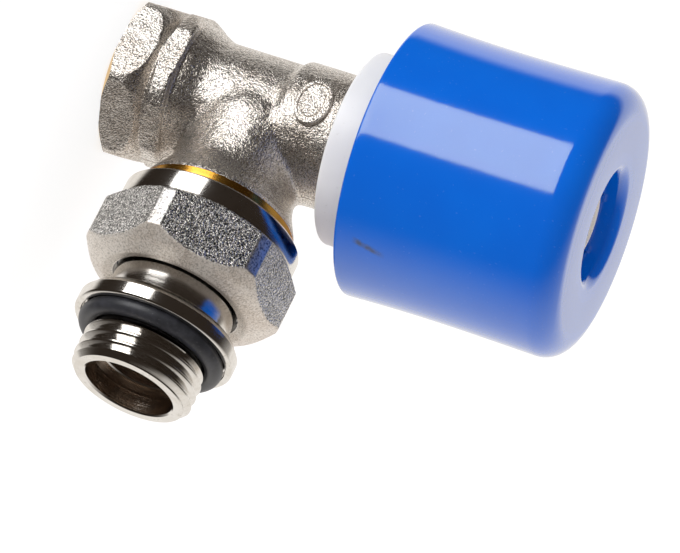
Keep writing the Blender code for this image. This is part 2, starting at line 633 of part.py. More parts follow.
def make_disc_nut(group, top, bore):
    """Small brass nut that holds the disc and its washer on the pin."""
    foot = top - DISC_NUT_LENGTH
    nut = prism("disc_nut", polygon(DISC_NUT_ACROSS_FLATS), UP, foot, top)
    hole = turned("nut_hole", washer_outline(0, bore, foot - OVERRUN, top + OVERRUN), steps=SMALL_TURN)
    tidy(cut(nut, hole), "brass")
    nut.parent = group
    nut.location = -group.location


def make_pin_group():
    """Everything that rises and falls with the pin."""
    foot = disc_foot()
    group = make_parent("pin_lift", (0, 0, foot))
    disc_top = foot + DISC_THICKNESS
    rim_foot = foot + DISC_THICKNESS / 2
    roof_foot = disc_top + GAP
    roof_top = roof_foot + CARRIER_ROOF_THICKNESS
    shoulder = roof_top + CARRIER_HUB_LENGTH / 2
    bore = DISC_NUT_SHANK_RADIUS + GAP
    washer_top = foot - GAP
    nut_top = washer_top - WASHER_THICKNESS - GAP
    make_pin(group, nut_top - DISC_NUT_LENGTH - GAP, shoulder)
    turned("sealing_disc", washer_outline(bore, DISC_RADIUS - GAP, foot, disc_top), "black_rubber",
           parent=group)
    carrier = [(bore, roof_foot), (DISC_RADIUS, roof_foot), (DISC_RADIUS, rim_foot),
               (CARRIER_RADIUS, rim_foot), (CARRIER_RADIUS, roof_top - GAP),
               (CARRIER_RADIUS - GAP, roof_top), (CARRIER_HUB_RADIUS, roof_top),
               (CARRIER_HUB_RADIUS, roof_top + CARRIER_HUB_LENGTH),
               (PIN_HOLE_RADIUS, roof_top + CARRIER_HUB_LENGTH), (PIN_HOLE_RADIUS, shoulder - GAP),
               (bore, shoulder - GAP)]
    turned("disc_carrier", carrier, "brass", parent=group)
    turned("disc_washer", washer_outline(bore, WASHER_RADIUS, washer_top - WASHER_THICKNESS, washer_top),
           "steel", steps=SMALL_TURN, parent=group)
    make_disc_nut(group, nut_top, bore)
    return group


def make_spring():
    """Steel spring that pushes the pin's cup up, and the plate that it stands on in the bonnet."""
    plate_foot = BONNET_FOOT + BONNET_LIP_THICKNESS + GAP
    plate_top = plate_foot + SPRING_PLATE_THICKNESS
    foot = plate_top + GAP + SPRING_WIRE_RADIUS
    top = SPRING_CUP_AT - GAP - SPRING_WIRE_RADIUS
    per_turn = 12
    count = int(SPRING_TURNS * per_turn)
    curve = bpy.data.curves.new("return_spring", "CURVE")
    curve.dimensions = "3D"
    curve.bevel_depth = SPRING_WIRE_RADIUS
    curve.bevel_resolution = 1
    curve.use_fill_caps = True
    line = curve.splines.new("POLY")
    line.points.add(count)
    for step in range(count + 1):
        angle = math.tau * step / per_turn
        height = foot + (top - foot) * step / count
        line.points[step].co = (SPRING_COIL_RADIUS * math.cos(angle), SPRING_COIL_RADIUS * math.sin(angle),
                                height, 1)
    spring = bpy.data.objects.new("return_spring", curve)
    curve.materials.append(finish("steel"))
    bpy.context.collection.objects.link(spring)
    turned("spring_plate", washer_outline(PIN_HOLE_RADIUS, SPRING_POCKET_RADIUS - GAP, plate_foot, plate_top),
           "steel", steps=SMALL_TURN)
    return spring


def knob_radius(height):
    """Returns the handwheel's outer radius at a height, waisted between its rim and its shoulder."""
    foot = KNOB_FOOT + KNOB_RIM_ROUND
    share = (height - foot) / (KNOB_TOP - KNOB_END_ROUND - foot)
    straight = KNOB_RIM_RADIUS + (KNOB_SHOULDER_RADIUS - KNOB_RIM_RADIUS) * share
    return straight - (straight - KNOB_WAIST_RADIUS) * math.sin(math.pi * share)


def knob_side(low, high, wall, steps):
    """Returns the points of the handwheel's side between two heights, a wall's thickness inside it."""
    heights = [low + (high - low) * step / steps for step in range(steps + 1)]
    return [(knob_radius(height) - wall, height) for height in heights]


def knob_outline():
    """Outer and inner outline of the handwheel, from its hub's foot round to the recess."""
    under_roof = KNOB_TOP - KNOB_ROOF_THICKNESS - KNOB_WALL
    inner_top = under_roof - KNOB_WALL
    side_foot = KNOB_FOOT + KNOB_RIM_ROUND
    side_top = KNOB_TOP - KNOB_END_ROUND
    inner_end = knob_radius(inner_top) - KNOB_WALL
    recess_floor = KNOB_TOP - RECESS_DEPTH
    insert_bore = INSERT_BODY_RADIUS + GAP
    head_bore = INSERT_HEAD_RADIUS + GAP
    outline = [(insert_bore, HUB_FOOT), (HUB_RADIUS, HUB_FOOT), (HUB_RADIUS, inner_top),
               (HUB_RADIUS + KNOB_WALL, under_roof)]
    outline += arc(inner_end - KNOB_WALL, inner_top, KNOB_WALL, 90, 0, 3)
    outline += knob_side(side_foot, inner_top, KNOB_WALL, 4)[-2::-1]
    outline += arc(KNOB_RIM_RADIUS - KNOB_RIM_ROUND, side_foot, KNOB_RIM_ROUND, -90, 0, 3)
    outline += knob_side(side_foot, side_top, 0, 6)[1:-1]
    outline += arc(KNOB_SHOULDER_RADIUS - KNOB_END_ROUND, side_top, KNOB_END_ROUND, 0, 90, 6)
    lip_centre = RECESS_RADIUS + RECESS_LIP_ROUND
    outline += arc(lip_centre, KNOB_TOP - RECESS_LIP_ROUND, RECESS_LIP_ROUND, 90, 180, 4)
    outline += [(RECESS_FLOOR_RADIUS, recess_floor), (head_bore, recess_floor),
                (head_bore, recess_floor - INSERT_HEAD_SEAT), (insert_bore, recess_floor - INSERT_HEAD_SEAT)]
    return outline


def make_handwheel_group():
    """Blue handwheel with its metal insert, turning about the spindle's axis."""
    group = make_parent("handwheel_turn", (0, 0, KNOB_FOOT))
    knob = turned("handwheel", knob_outline(), steps=FINE_TURN)
    rib_foot = HUB_FOOT + RIB_RISE
    rib_top = KNOB_TOP - KNOB_ROOF_THICKNESS - KNOB_WALL / 2
    inner_side = KNOB_TOP - KNOB_END_ROUND
    far = min(knob_radius(rib_foot), knob_radius(inner_side)) - KNOB_WALL / 2
    for index in range(KNOB_RIBS):
        angle = math.tau * (index + 0.5) / KNOB_RIBS
        half = RIB_THICKNESS / 2
        near = HUB_RADIUS - KNOB_WALL
        flat = [(near, -half), (far, -half), (far, half), (near, half)]
        corners = [(x * math.cos(angle) - y * math.sin(angle), x * math.sin(angle) + y * math.cos(angle))
                   for x, y in flat]
        join(knob, prism("rib", corners, UP, rib_foot, rib_top))
    tidy(knob, "blue_plastic")
    recess_floor = KNOB_TOP - RECESS_DEPTH
    head_top = recess_floor + INSERT_HEAD_PROUD
    shoulder = recess_floor - INSERT_HEAD_SEAT - GAP
    dish_floor = head_top - INSERT_DISH_DEPTH
    outline = [(0, INSERT_FOOT), (INSERT_SCREW_RADIUS - GAP, INSERT_FOOT),
               (INSERT_SCREW_RADIUS, INSERT_FOOT + GAP), (INSERT_SCREW_RADIUS, HUB_FOOT),
               (INSERT_BODY_RADIUS, HUB_FOOT + GAP), (INSERT_BODY_RADIUS, shoulder),
               (INSERT_HEAD_RADIUS, shoulder), (INSERT_HEAD_RADIUS, head_top),
               (INSERT_DISH_RADIUS, head_top), (INSERT_DISH_RADIUS, dish_floor), (0, dish_floor)]
    insert = turned("handwheel_insert", outline)
    key = prism("key_socket", polygon(INSERT_KEY_ACROSS_FLATS), UP, dish_floor - INSERT_KEY_DEPTH,
                head_top + OVERRUN)
    tidy(cut(insert, key), "nickel_turned")
    insert.parent = group
    insert.location = -group.location
    clip_top = HUB_FOOT - GAP
    turned("insert_clip", washer_outline(INSERT_SCREW_RADIUS + GAP, INSERT_CLIP_RADIUS,
                                         clip_top - INSERT_CLIP_THICKNESS, clip_top), "steel",
           steps=SMALL_TURN, parent=group)
    knob.parent = group
    knob.location = -group.location
    return group


def ring_seat():
    """Returns the station of the retaining ring's inner face, against the nut's front wall."""
    return NUT_BACK + NUT_LENGTH - NUT_FRONT_WALL - GAP - RING_THICKNESS


def make_union_nut(group):
    """Union nut: a turned collar, a hexagon with turned ends, and a plain front wall."""
    front = NUT_BACK + NUT_LENGTH
    wall = front - NUT_FRONT_WALL
    thread = UNION_THREAD_RADIUS + GAP
    collar = NUT_BACK + NUT_COLLAR_LENGTH
    sharp = NUT_ACROSS_FLATS / 2 / math.cos(math.pi / 6)
    half = NUT_ACROSS_FLATS / 2
    spread = NUT_CORNER_RADIUS - NUT_COLLAR_RADIUS
    envelope = [(thread, NUT_BACK), (NUT_COLLAR_RADIUS - NUT_BACK_CHAMFER, NUT_BACK),
                (NUT_COLLAR_RADIUS, NUT_BACK + NUT_BACK_CHAMFER), (NUT_COLLAR_RADIUS, collar),
                (NUT_CORNER_RADIUS, collar + spread * NUT_SHOULDER_RISE_SHARE),
                (NUT_CORNER_RADIUS, front - NUT_FACE_DROP - spread),
                (half, front - NUT_FACE_DROP), (NUT_FACE_RADIUS, front),
                (NUT_HOLE_RADIUS, front - NUT_HOLE_SINK),
                (NUT_HOLE_RADIUS, wall), (thread, wall)]
    nut = turned("union_nut", envelope, axis=OUTWARD, base=OUTLET_CENTRE, steps=FINE_TURN)
    keep = prism("nut_keep", rounded_hexagon(NUT_ACROSS_FLATS, (sharp + NUT_CORNER_RADIUS) / 2, NUT_TURN, 2),
                 OUTWARD, NUT_BACK + NUT_COLLAR_LENGTH, front + OVERRUN, OUTLET_CENTRE)
    sleeve = turned("nut_sleeve", washer_outline(0, NUT_CORNER_RADIUS, NUT_BACK - OVERRUN, collar + GAP),
                    axis=OUTWARD, base=OUTLET_CENTRE, steps=FINE_TURN)
    keep_inside(nut, join(keep, sleeve))
    tidy(nut, "nickel_cast")
    nut.parent = group
    nut.matrix_parent_inverse = Matrix.Translation(-Vector(group.location))
    return nut


def make_tailpiece(group):
    """Turned tailpiece: shank with a ring groove, tapered flange, relief for the seal, and its thread."""
    inner = UNION_THREAD_END + SEAL_THICKNESS + 2 * GAP
    seat = ring_seat()
    groove = SHANK_RADIUS - RING_GROOVE_DEPTH
    flange_front = FLANGE_BACK_AT + FLANGE_LENGTH
    recess = flange_front - FLANGE_RECESS_DEPTH
    relief_end = recess + TAIL_RELIEF_LENGTH
    ledge = TAIL_REACH - TAIL_MOUTH_DEPTH
    outline = [(TAIL_BORE_RADIUS, inner), (SHANK_RADIUS, inner), (SHANK_RADIUS, seat - GAP),
               (groove, seat - GAP), (groove, seat + RING_THICKNESS + GAP),
               (SHANK_RADIUS, seat + RING_THICKNESS + GAP), (SHANK_RADIUS, FLANGE_BACK_AT),
               (FLANGE_BACK_RADIUS, FLANGE_BACK_AT), (FLANGE_RADIUS, FLANGE_BACK_AT + FLANGE_TAPER),
               (FLANGE_RADIUS, flange_front - GAP), (FLANGE_RADIUS - GAP, flange_front),
               (FLANGE_RECESS_RADIUS, flange_front), (FLANGE_RECESS_RADIUS, recess),
               (TAIL_THREAD_ROOT, recess), (TAIL_THREAD_ROOT, relief_end),
               (TAIL_THREAD_RADIUS, relief_end + GAP), (TAIL_THREAD_RADIUS, TAIL_REACH - TAIL_END_CHAMFER),
               (TAIL_THREAD_RADIUS - TAIL_END_CHAMFER, TAIL_REACH), (TAIL_MOUTH_RADIUS, TAIL_REACH),
               (TAIL_MOUTH_RADIUS, ledge), (TAIL_BORE_RADIUS, ledge)]
    turned("tailpiece", outline, "nickel_turned", axis=OUTWARD, base=OUTLET_CENTRE, steps=FINE_TURN,
           parent=group)
    seal_radius = TAIL_THREAD_ROOT + GAP / 2 + TAIL_RING_SECTION
    seal_at = recess + GAP / 2 + TAIL_RING_SECTION
    turned("tail_o_ring", ring_outline(seal_radius, seal_at, TAIL_RING_SECTION, 12), "black_rubber",
           axis=OUTWARD, base=OUTLET_CENTRE, steps=FINE_TURN, parent=group)


def make_union_group():
    """Union: the retaining ring, and on it the nut and the tailpiece that swivels."""
    ring_parent = make_parent("union_slide", (ring_seat(), 0, OUTLET_HEIGHT))
    seat = ring_seat()
    inner = SHANK_RADIUS - RING_GROOVE_DEPTH + GAP
    ring = turned("retaining_ring", washer_outline(inner, RING_RADIUS, seat, seat + RING_THICKNESS),
                  axis=OUTWARD, base=OUTLET_CENTRE, steps=PLAIN_TURN)
    half = RING_SPLIT / 2
    slot = [(-half, 0), (half, 0), (half, RING_RADIUS + OVERRUN), (-half, RING_RADIUS + OVERRUN)]
    cut(ring, prism("ring_slot", slot, OUTWARD, seat - OVERRUN, seat + RING_THICKNESS + OVERRUN,
                    OUTLET_CENTRE))
    tidy(ring, "steel")
    ring.parent = ring_parent
    ring.matrix_parent_inverse = Matrix.Translation(-Vector(ring_parent.location))
    make_union_nut(ring_parent)
    make_tailpiece(ring_parent)


def make_union_seal():
    """Flat fibre ring between the branch's end face and the tailpiece."""
    foot = UNION_THREAD_END + GAP
    outer = UNION_THREAD_RADIUS - UNION_THREAD_CHAMFER
    turned("union_seal", washer_outline(SEAL_BORE_RADIUS, min(outer, SHANK_RADIUS), foot, foot + SEAL_THICKNESS),
           "white_fibre", axis=OUTWARD, base=OUTLET_CENTRE)


def main():
    """Builds the valve, piece by piece, from the body outwards."""
    clear_scene()
    make_valve_body()
    make_bonnet()
    make_bonnet_seals()
    make_gland_nut()
    make_guide_collar()
    make_collar_bush()
    make_spring()
    make_pin_group()
    make_handwheel_group()
    make_union_seal()
    make_union_group()


main()
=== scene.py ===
"""Looks of an angled radiator valve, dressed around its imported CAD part.

A forged and sandblasted brass body, nickel plated, carries a white guide collar and a blue handwheel on
its neck. On its branch sits a union: a hexagon nut with a turned collar, and a swivelling tailpiece with a
flange, a rubber ring and a male thread. Every size below is in millimetres unless its name says otherwise.
"""

from __future__ import annotations

import json
import logging
import math
from dataclasses import dataclass, field
from enum import Enum
from typing import Callable, Sequence, Union

import bmesh
import bpy
from mathutils import Matrix, Vector

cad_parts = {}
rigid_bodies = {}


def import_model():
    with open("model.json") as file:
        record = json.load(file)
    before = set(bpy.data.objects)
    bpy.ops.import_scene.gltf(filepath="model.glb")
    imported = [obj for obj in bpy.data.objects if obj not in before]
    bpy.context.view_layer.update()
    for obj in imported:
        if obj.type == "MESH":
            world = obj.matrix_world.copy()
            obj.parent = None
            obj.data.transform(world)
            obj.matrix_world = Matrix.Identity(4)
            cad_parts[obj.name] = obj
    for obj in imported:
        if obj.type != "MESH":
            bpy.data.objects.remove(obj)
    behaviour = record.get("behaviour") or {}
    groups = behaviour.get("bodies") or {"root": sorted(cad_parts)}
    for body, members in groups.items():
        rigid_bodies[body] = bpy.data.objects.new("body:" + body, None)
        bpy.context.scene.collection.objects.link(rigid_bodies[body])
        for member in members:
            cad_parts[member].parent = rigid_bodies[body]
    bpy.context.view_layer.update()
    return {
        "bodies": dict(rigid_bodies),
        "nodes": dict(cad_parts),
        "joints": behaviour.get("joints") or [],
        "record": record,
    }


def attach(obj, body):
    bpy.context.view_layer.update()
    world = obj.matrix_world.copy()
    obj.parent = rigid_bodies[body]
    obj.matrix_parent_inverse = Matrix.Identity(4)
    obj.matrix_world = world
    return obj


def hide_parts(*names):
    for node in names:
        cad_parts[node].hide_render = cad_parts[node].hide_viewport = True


log = logging.getLogger("radiator_valve")

MM = 0.001
MERGE_DISTANCE = 0.002 * MM
OUTLET_HEIGHT = 23.3
OVERRUN = 2.0
HAIR = 0.1
LEAST_WEIGHT = 0.004

Outline = Sequence[tuple[float, float]]
Number = Union[float, int]


class Axis(Enum):
    """The two centre lines that the valve's pieces are turned about."""

    SPINDLE = "spindle"
    OUTLET = "outlet"

    @property
    def direction(self) -> Vector:
        """The line's direction."""
        return Vector((0, 0, 1)) if self is Axis.SPINDLE else Vector((1, 0, 0))

    @property
    def base(self) -> Vector:
        """A point on the line, in metres."""
        return Vector((0, 0, 0)) if self is Axis.SPINDLE else Vector((0, 0, OUTLET_HEIGHT * MM))

    @property
    def turn(self) -> Matrix:
        """The turn that lays the upright axis on this one."""
        if self is Axis.SPINDLE:
            return Matrix.Identity(4)
        return Matrix(((0, 0, 1), (1, 0, 0), (0, 1, 0))).to_4x4()

    def point(self, radius: float, station: float) -> Vector:
        """Places a point of an outline in its drawing plane, in metres."""
        return self.base + self.turn.to_3x3() @ Vector((radius * MM, 0, station * MM))

    def station(self, place: Vector) -> float:
        """Reads how far along the line a place lies, in millimetres."""
        return (place - self.base).dot(self.direction) / MM

    def radius(self, place: Vector) -> float:
        """Reads how far from the line a place lies, in millimetres."""
        offset = place - self.base
        return (offset - self.direction * offset.dot(self.direction)).length / MM


class Fit(Enum):
    """How two solids are combined."""

    JOIN = "UNION"
    TAKE_AWAY = "DIFFERENCE"
    KEEP_COMMON = "INTERSECT"


def arc(radius_at: float, station_at: float, size: float, start: float, end: float,
        steps: int = 8) -> list[tuple[float, float]]:
    """Lists the points of an arc in an outline.

    Args:
        radius_at: Radius of the arc's centre.
        station_at: Station of the arc's centre.
        size: The arc's own radius.
        start: First angle in degrees, from the outward direction towards the axis' own.
        end: Last angle in degrees.
        steps: Number of chords.

    Returns:
        The (radius, station) points, both ends included.
    """
    turns = [math.radians(start + (end - start) * step / steps) for step in range(steps + 1)]
    return [(radius_at + size * math.cos(turn), station_at + size * math.sin(turn)) for turn in turns]


def ease(low: float, high: float, value: float) -> float:
    """Rises smoothly from 0 at low to 1 at high; low may be the larger one."""
    share = min(1.0, max(0.0, (value - low) / (high - low)))
    return share * share * (3 - 2 * share)


class Bench:
    """The bench's hand moves, each a few of Blender's modelling operators on the piece in hand."""

    @staticmethod
    def put_down() -> None:
        """Leaves edit mode and selects nothing."""
        if bpy.context.object and bpy.context.object.mode != "OBJECT":
            bpy.ops.object.mode_set(mode="OBJECT")
        bpy.ops.object.select_all(action="DESELECT")

    @staticmethod
    def take(piece: bpy.types.Object) -> bpy.types.Object:
        """Makes one piece the selected and active one.

        Args:
            piece: The piece.

        Returns:
            The piece.
        """
        Bench.put_down()
        piece.select_set(True)
        bpy.context.view_layer.objects.active = piece
        return piece

    @staticmethod
    def open_up(piece: bpy.types.Object) -> None:
        """Enters edit mode on a piece, with all of it selected.

        Args:
            piece: The piece.
        """
        Bench.take(piece)
        bpy.ops.object.mode_set(mode="EDIT")
        bpy.ops.mesh.select_mode(type="VERT")
        bpy.ops.mesh.select_all(action="SELECT")

    @staticmethod
    def named(name: str) -> bpy.types.Object:
        """Names the piece that was just added.

        Args:
            name: Its name.

        Returns:
            The piece.
        """
        piece = bpy.context.active_object
        piece.name = name
        piece.data.name = name
        return piece

    @staticmethod
    def clean_up(piece: bpy.types.Object) -> bpy.types.Object:
        """Merges doubles, drops loose edges and turns every face outwards.

        Args:
            piece: The piece.

        Returns:
            The piece.
        """
        Bench.open_up(piece)
        bpy.ops.mesh.remove_doubles(threshold=MERGE_DISTANCE)
        bpy.ops.mesh.delete_loose(use_verts=True, use_edges=True, use_faces=False)
        bpy.ops.mesh.select_all(action="SELECT")
        bpy.ops.mesh.normals_make_consistent(inside=False)
        bpy.ops.object.mode_set(mode="OBJECT")
        return piece

    @staticmethod
    def trace(name: str, points: Sequence[Vector]) -> bpy.types.Object:
        """Draws a line through points by extruding one vertex from each to the next.

        Args:
            name: The piece's name.
            points: The corners, in metres.

        Returns:
            The new piece, left in edit mode with its line drawn.
        """
        Bench.put_down()
        bpy.ops.mesh.primitive_plane_add(size=MM, location=(0, 0, 0))
        piece = Bench.named(name)
        bpy.ops.object.mode_set(mode="EDIT")
        bpy.ops.mesh.select_mode(type="VERT")
        bpy.ops.mesh.select_all(action="SELECT")
        bpy.ops.mesh.merge(type="CENTER")
        bpy.ops.transform.translate(value=points[0])
        for here, there in zip(points, points[1:]):
            bpy.ops.mesh.extrude_vertices_move(TRANSFORM_OT_translate={"value": there - here})
        return piece

    @staticmethod
    def lathe(name: str, axis: Axis, outline: Outline, steps: int = 128) -> bpy.types.Object:
        """Turns a closed outline about an axis.

        Args:
            name: The piece's name.
            axis: The centre line.
            outline: The (radius, station) corners; the last one joins the first.
            steps: Number of chords round the turn.

        Returns:
            The turned piece.
        """
        points = [axis.point(radius, station) for radius, station in outline]
        piece = Bench.trace(name, points + points[:1])
        bpy.ops.mesh.select_all(action="SELECT")
        bpy.ops.mesh.spin(steps=steps, angle=math.tau, center=axis.base, axis=axis.direction)
        return Bench.clean_up(piece)

    @staticmethod
    def bar(name: str, axis: Axis, sides: int, across_flats: float, low: float, high: float,
            turn: float = 0.0) -> bpy.types.Object:
        """Cuts a length of bar with flat sides.

        Args:
            name: The piece's name.
            axis: The bar's centre line.
            sides: Number of flats.
            across_flats: Size across them.
            low: Station of the first end.
            high: Station of the last end.
            turn: Bearing of the first corner in degrees.

        Returns:
            The bar.
        """
        Bench.put_down()
        corner = across_flats / 2 / math.cos(math.pi / sides) * MM
        bpy.ops.mesh.primitive_cylinder_add(vertices=sides, radius=corner, depth=(high - low) * MM)
        piece = Bench.named(name)
        upright = Matrix.Translation((0, 0, (low + high) / 2 * MM))
        spin = Matrix.Rotation(math.radians(turn - 90), 4, "Z")
        piece.matrix_world = Matrix.Translation(axis.base) @ axis.turn @ upright @ spin
        bpy.ops.object.transform_apply(location=True, rotation=True, scale=True)
        return piece

    @staticmethod
    def combine(target: bpy.types.Object, tool: bpy.types.Object, fit: Fit,
                exact: bool = False) -> bpy.types.Object:
        """Joins, cuts or keeps what two solids share, and uses up the tool.

        Args:
            target: The piece that stays.
            tool: The piece that is used on it.
            fit: How the two are combined.
            exact: True for the slower way, where solids share a face.

        Returns:
            The target.
        """
        Bench.take(target)
        modifier = target.modifiers.new(fit.name.lower(), "BOOLEAN")
        modifier.operation = fit.value
        modifier.solver = "EXACT" if exact else "MANIFOLD"
        modifier.object = tool
        bpy.ops.object.modifier_apply(modifier=modifier.name)
        bpy.data.objects.remove(tool, do_unlink=True)
        if not target.data.polygons:
            raise RuntimeError(f"{target.name} vanished in {fit.name}")
        return target

    @staticmethod
    def forge(piece: bpy.types.Object, grain: float) -> bpy.types.Object:
        """Remakes a solid's skin as one even mesh with slightly rounded edges, as a forging has.

        Args:
            piece: The solid.
            grain: Size of the new mesh's cells.

        Returns:
            The piece.
        """
        Bench.take(piece)
        modifier = piece.modifiers.new("forge", "REMESH")
        modifier.mode = "VOXEL"
        modifier.voxel_size = grain * MM
        bpy.ops.object.modifier_apply(modifier=modifier.name)
        return piece

    @staticmethod
    def soften(piece: bpy.types.Object, weigh: Callable[[Vector], float], rounds: int) -> bpy.types.Object:
        """Rounds a solid's corners where a weight by place allows it.

        Args:
            piece: The solid.
            weigh: Gives 0 to 1 for a place in metres.
            rounds: How often the smoothing is repeated.

        Returns:
            The piece.
        """
        group = piece.vertex_groups.new(name="soft")
        for vertex in piece.data.vertices:
            weight = weigh(vertex.co)
            if weight > LEAST_WEIGHT:
                group.add([vertex.index], weight, "REPLACE")
        Bench.take(piece)
        modifier = piece.modifiers.new("soften", "SMOOTH")
        modifier.vertex_group = group.name
        modifier.factor = 0.5
        modifier.iterations = rounds
        bpy.ops.object.modifier_apply(modifier=modifier.name)
        piece.vertex_groups.clear()
        return piece

    @staticmethod
    def break_edges(piece: bpy.types.Object, width: float, segments: int = 2,
                    angle: float = 25.0) -> bpy.types.Object:
        """Takes the sharpness off a solid's edges.

        Args:
            piece: The solid.
            width: Width of the bevel.
            segments: Its number of strips.
            angle: Smallest edge angle in degrees that is broken.

        Returns:
            The piece.
        """
        Bench.take(piece)
        modifier = piece.modifiers.new("edges", "BEVEL")
        modifier.width = width * MM
        modifier.segments = segments
        modifier.limit_method = "ANGLE"
        modifier.angle_limit = math.radians(angle)
        modifier.use_clamp_overlap = True
        bpy.ops.object.modifier_apply(modifier=modifier.name)
        return piece

    @staticmethod
    def pick(piece: bpy.types.Object, wanted: Callable[[Vector, Vector], bool]) -> int:
        """Selects a piece's faces by centre and normal, and stays in edit mode.

        Args:
            piece: The piece, in edit mode.
            wanted: Tells from a face's centre and normal whether it is selected.

        Returns:
            How many faces were selected.
        """
        bpy.ops.mesh.select_mode(type="FACE")
        bpy.ops.mesh.select_all(action="DESELECT")
        shell = bmesh.from_edit_mesh(piece.data)
        count = 0
        for face in shell.faces:
            if wanted(face.calc_center_median(), face.normal):
                face.select_set(True)
                count += 1
        bmesh.update_edit_mesh(piece.data)
        return count

    @staticmethod
    def dress(piece: bpy.types.Object, base: bpy.types.Material,
              zones: Sequence[tuple[bpy.types.Material, Callable[[Vector, Vector], bool]]] = (),
              sharp: float = 30.0) -> bpy.types.Object:
        """Gives a piece its finishes by zone, and shades it smooth up to an angle.

        Args:
            piece: The piece.
            base: The finish of all faces that no zone claims.
            zones: Finishes with the test of face centre and normal that claims faces; later ones win.
            sharp: Edge angle in degrees from which an edge is shaded sharp.

        Returns:
            The piece.
        """
        piece.data.materials.clear()
        piece.data.materials.append(base)
        for material, _ in zones:
            piece.data.materials.append(material)
        for polygon in piece.data.polygons:
            polygon.material_index = 0
            for number, (_, claims) in enumerate(zones, start=1):
                if claims(polygon.center, polygon.normal):
                    polygon.material_index = number
        Bench.take(piece)
        bpy.ops.object.shade_smooth_by_angle(angle=math.radians(sharp))
        return piece

    @staticmethod
    def seat(piece: bpy.types.Object, body: str, slot: str, *nodes: str) -> bpy.types.Object:
        """Puts a finished piece on its CAD body, in place of CAD nodes.

        Args:
            piece: The finished piece.
            body: The CAD body that it moves with.
            slot: The record's material slot that it stands for; not used.
            *nodes: The CAD nodes that it replaces.

        Returns:
            The piece.
        """
        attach(piece, body)
        if nodes:
            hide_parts(*nodes)
        log.info("%s rides on %s with %d faces", piece.name, body, len(piece.data.polygons))
        return piece


@dataclass(frozen=True)
class ThreadForm:
    """A round-crested pipe thread of 55 degrees."""

    crest: float
    root: float
    pitch: float = 1.814
    steps: int = 96
    flank_angle: float = 27.5
    softness: float = 0.16

    def tooth(self) -> list[tuple[float, float]]:
        """Lists one pitch of the thread's outline, from root to root.

        Returns:
            The (radius, station) points.
        """
        depth = self.crest - self.root
        flank = depth * math.tan(math.radians(self.flank_angle))
        flat = self.pitch / 2 - flank
        soft = self.softness * depth
        slip = self.softness * flank
        rise = flat * 0.5
        fall = self.pitch - rise
        return [(self.root, 0.0), (self.root, rise * 0.62), (self.root + soft, rise + slip),
                (self.crest - soft, rise + flank - slip), (self.crest, rise + flank + flat * 0.25),
                (self.crest, fall - flank - flat * 0.25), (self.crest - soft, fall - flank + slip),
                (self.root + soft, fall - slip), (self.root, fall + rise * 0.38), (self.root, self.pitch)]

    def bar(self, name: str, axis: Axis, low: float, high: float) -> bpy.types.Object:
        """Cuts a threaded bar with square ends.

        Args:
            name: The piece's name.
            axis: The bar's centre line.
            low: Station of the first end.
            high: Station of the last end.

        Returns:
            The bar, a closed solid.
        """
        turns = math.ceil((high - low) / self.pitch) + 3
        start = low - 1.5 * self.pitch
        upright = [Vector((radius * MM, 0, (start + station) * MM)) for radius, station in self.tooth()]
        piece = Bench.trace(name, upright)
        bpy.ops.object.mode_set(mode="OBJECT")
        modifier = piece.modifiers.new("thread", "SCREW")
        modifier.axis = "Z"
        modifier.angle = math.tau
        modifier.screw_offset = self.pitch * MM
        modifier.iterations = turns
        modifier.steps = self.steps
        modifier.render_steps = self.steps
        bpy.ops.object.modifier_apply(modifier=modifier.name)
        Bench.clean_up(piece)
        for station, side in ((low, -1), (high, 1)):
            Bench.open_up(piece)
            bpy.ops.mesh.bisect(plane_co=(0, 0, station * MM), plane_no=(0, 0, side), use_fill=True,
                                clear_inner=False, clear_outer=True, threshold=1e-7)
            bpy.ops.object.mode_set(mode="OBJECT")
        piece.matrix_world = Matrix.Translation(axis.base) @ axis.turn
        Bench.take(piece)
        bpy.ops.object.transform_apply(location=True, rotation=True, scale=True)
        return Bench.clean_up(piece)


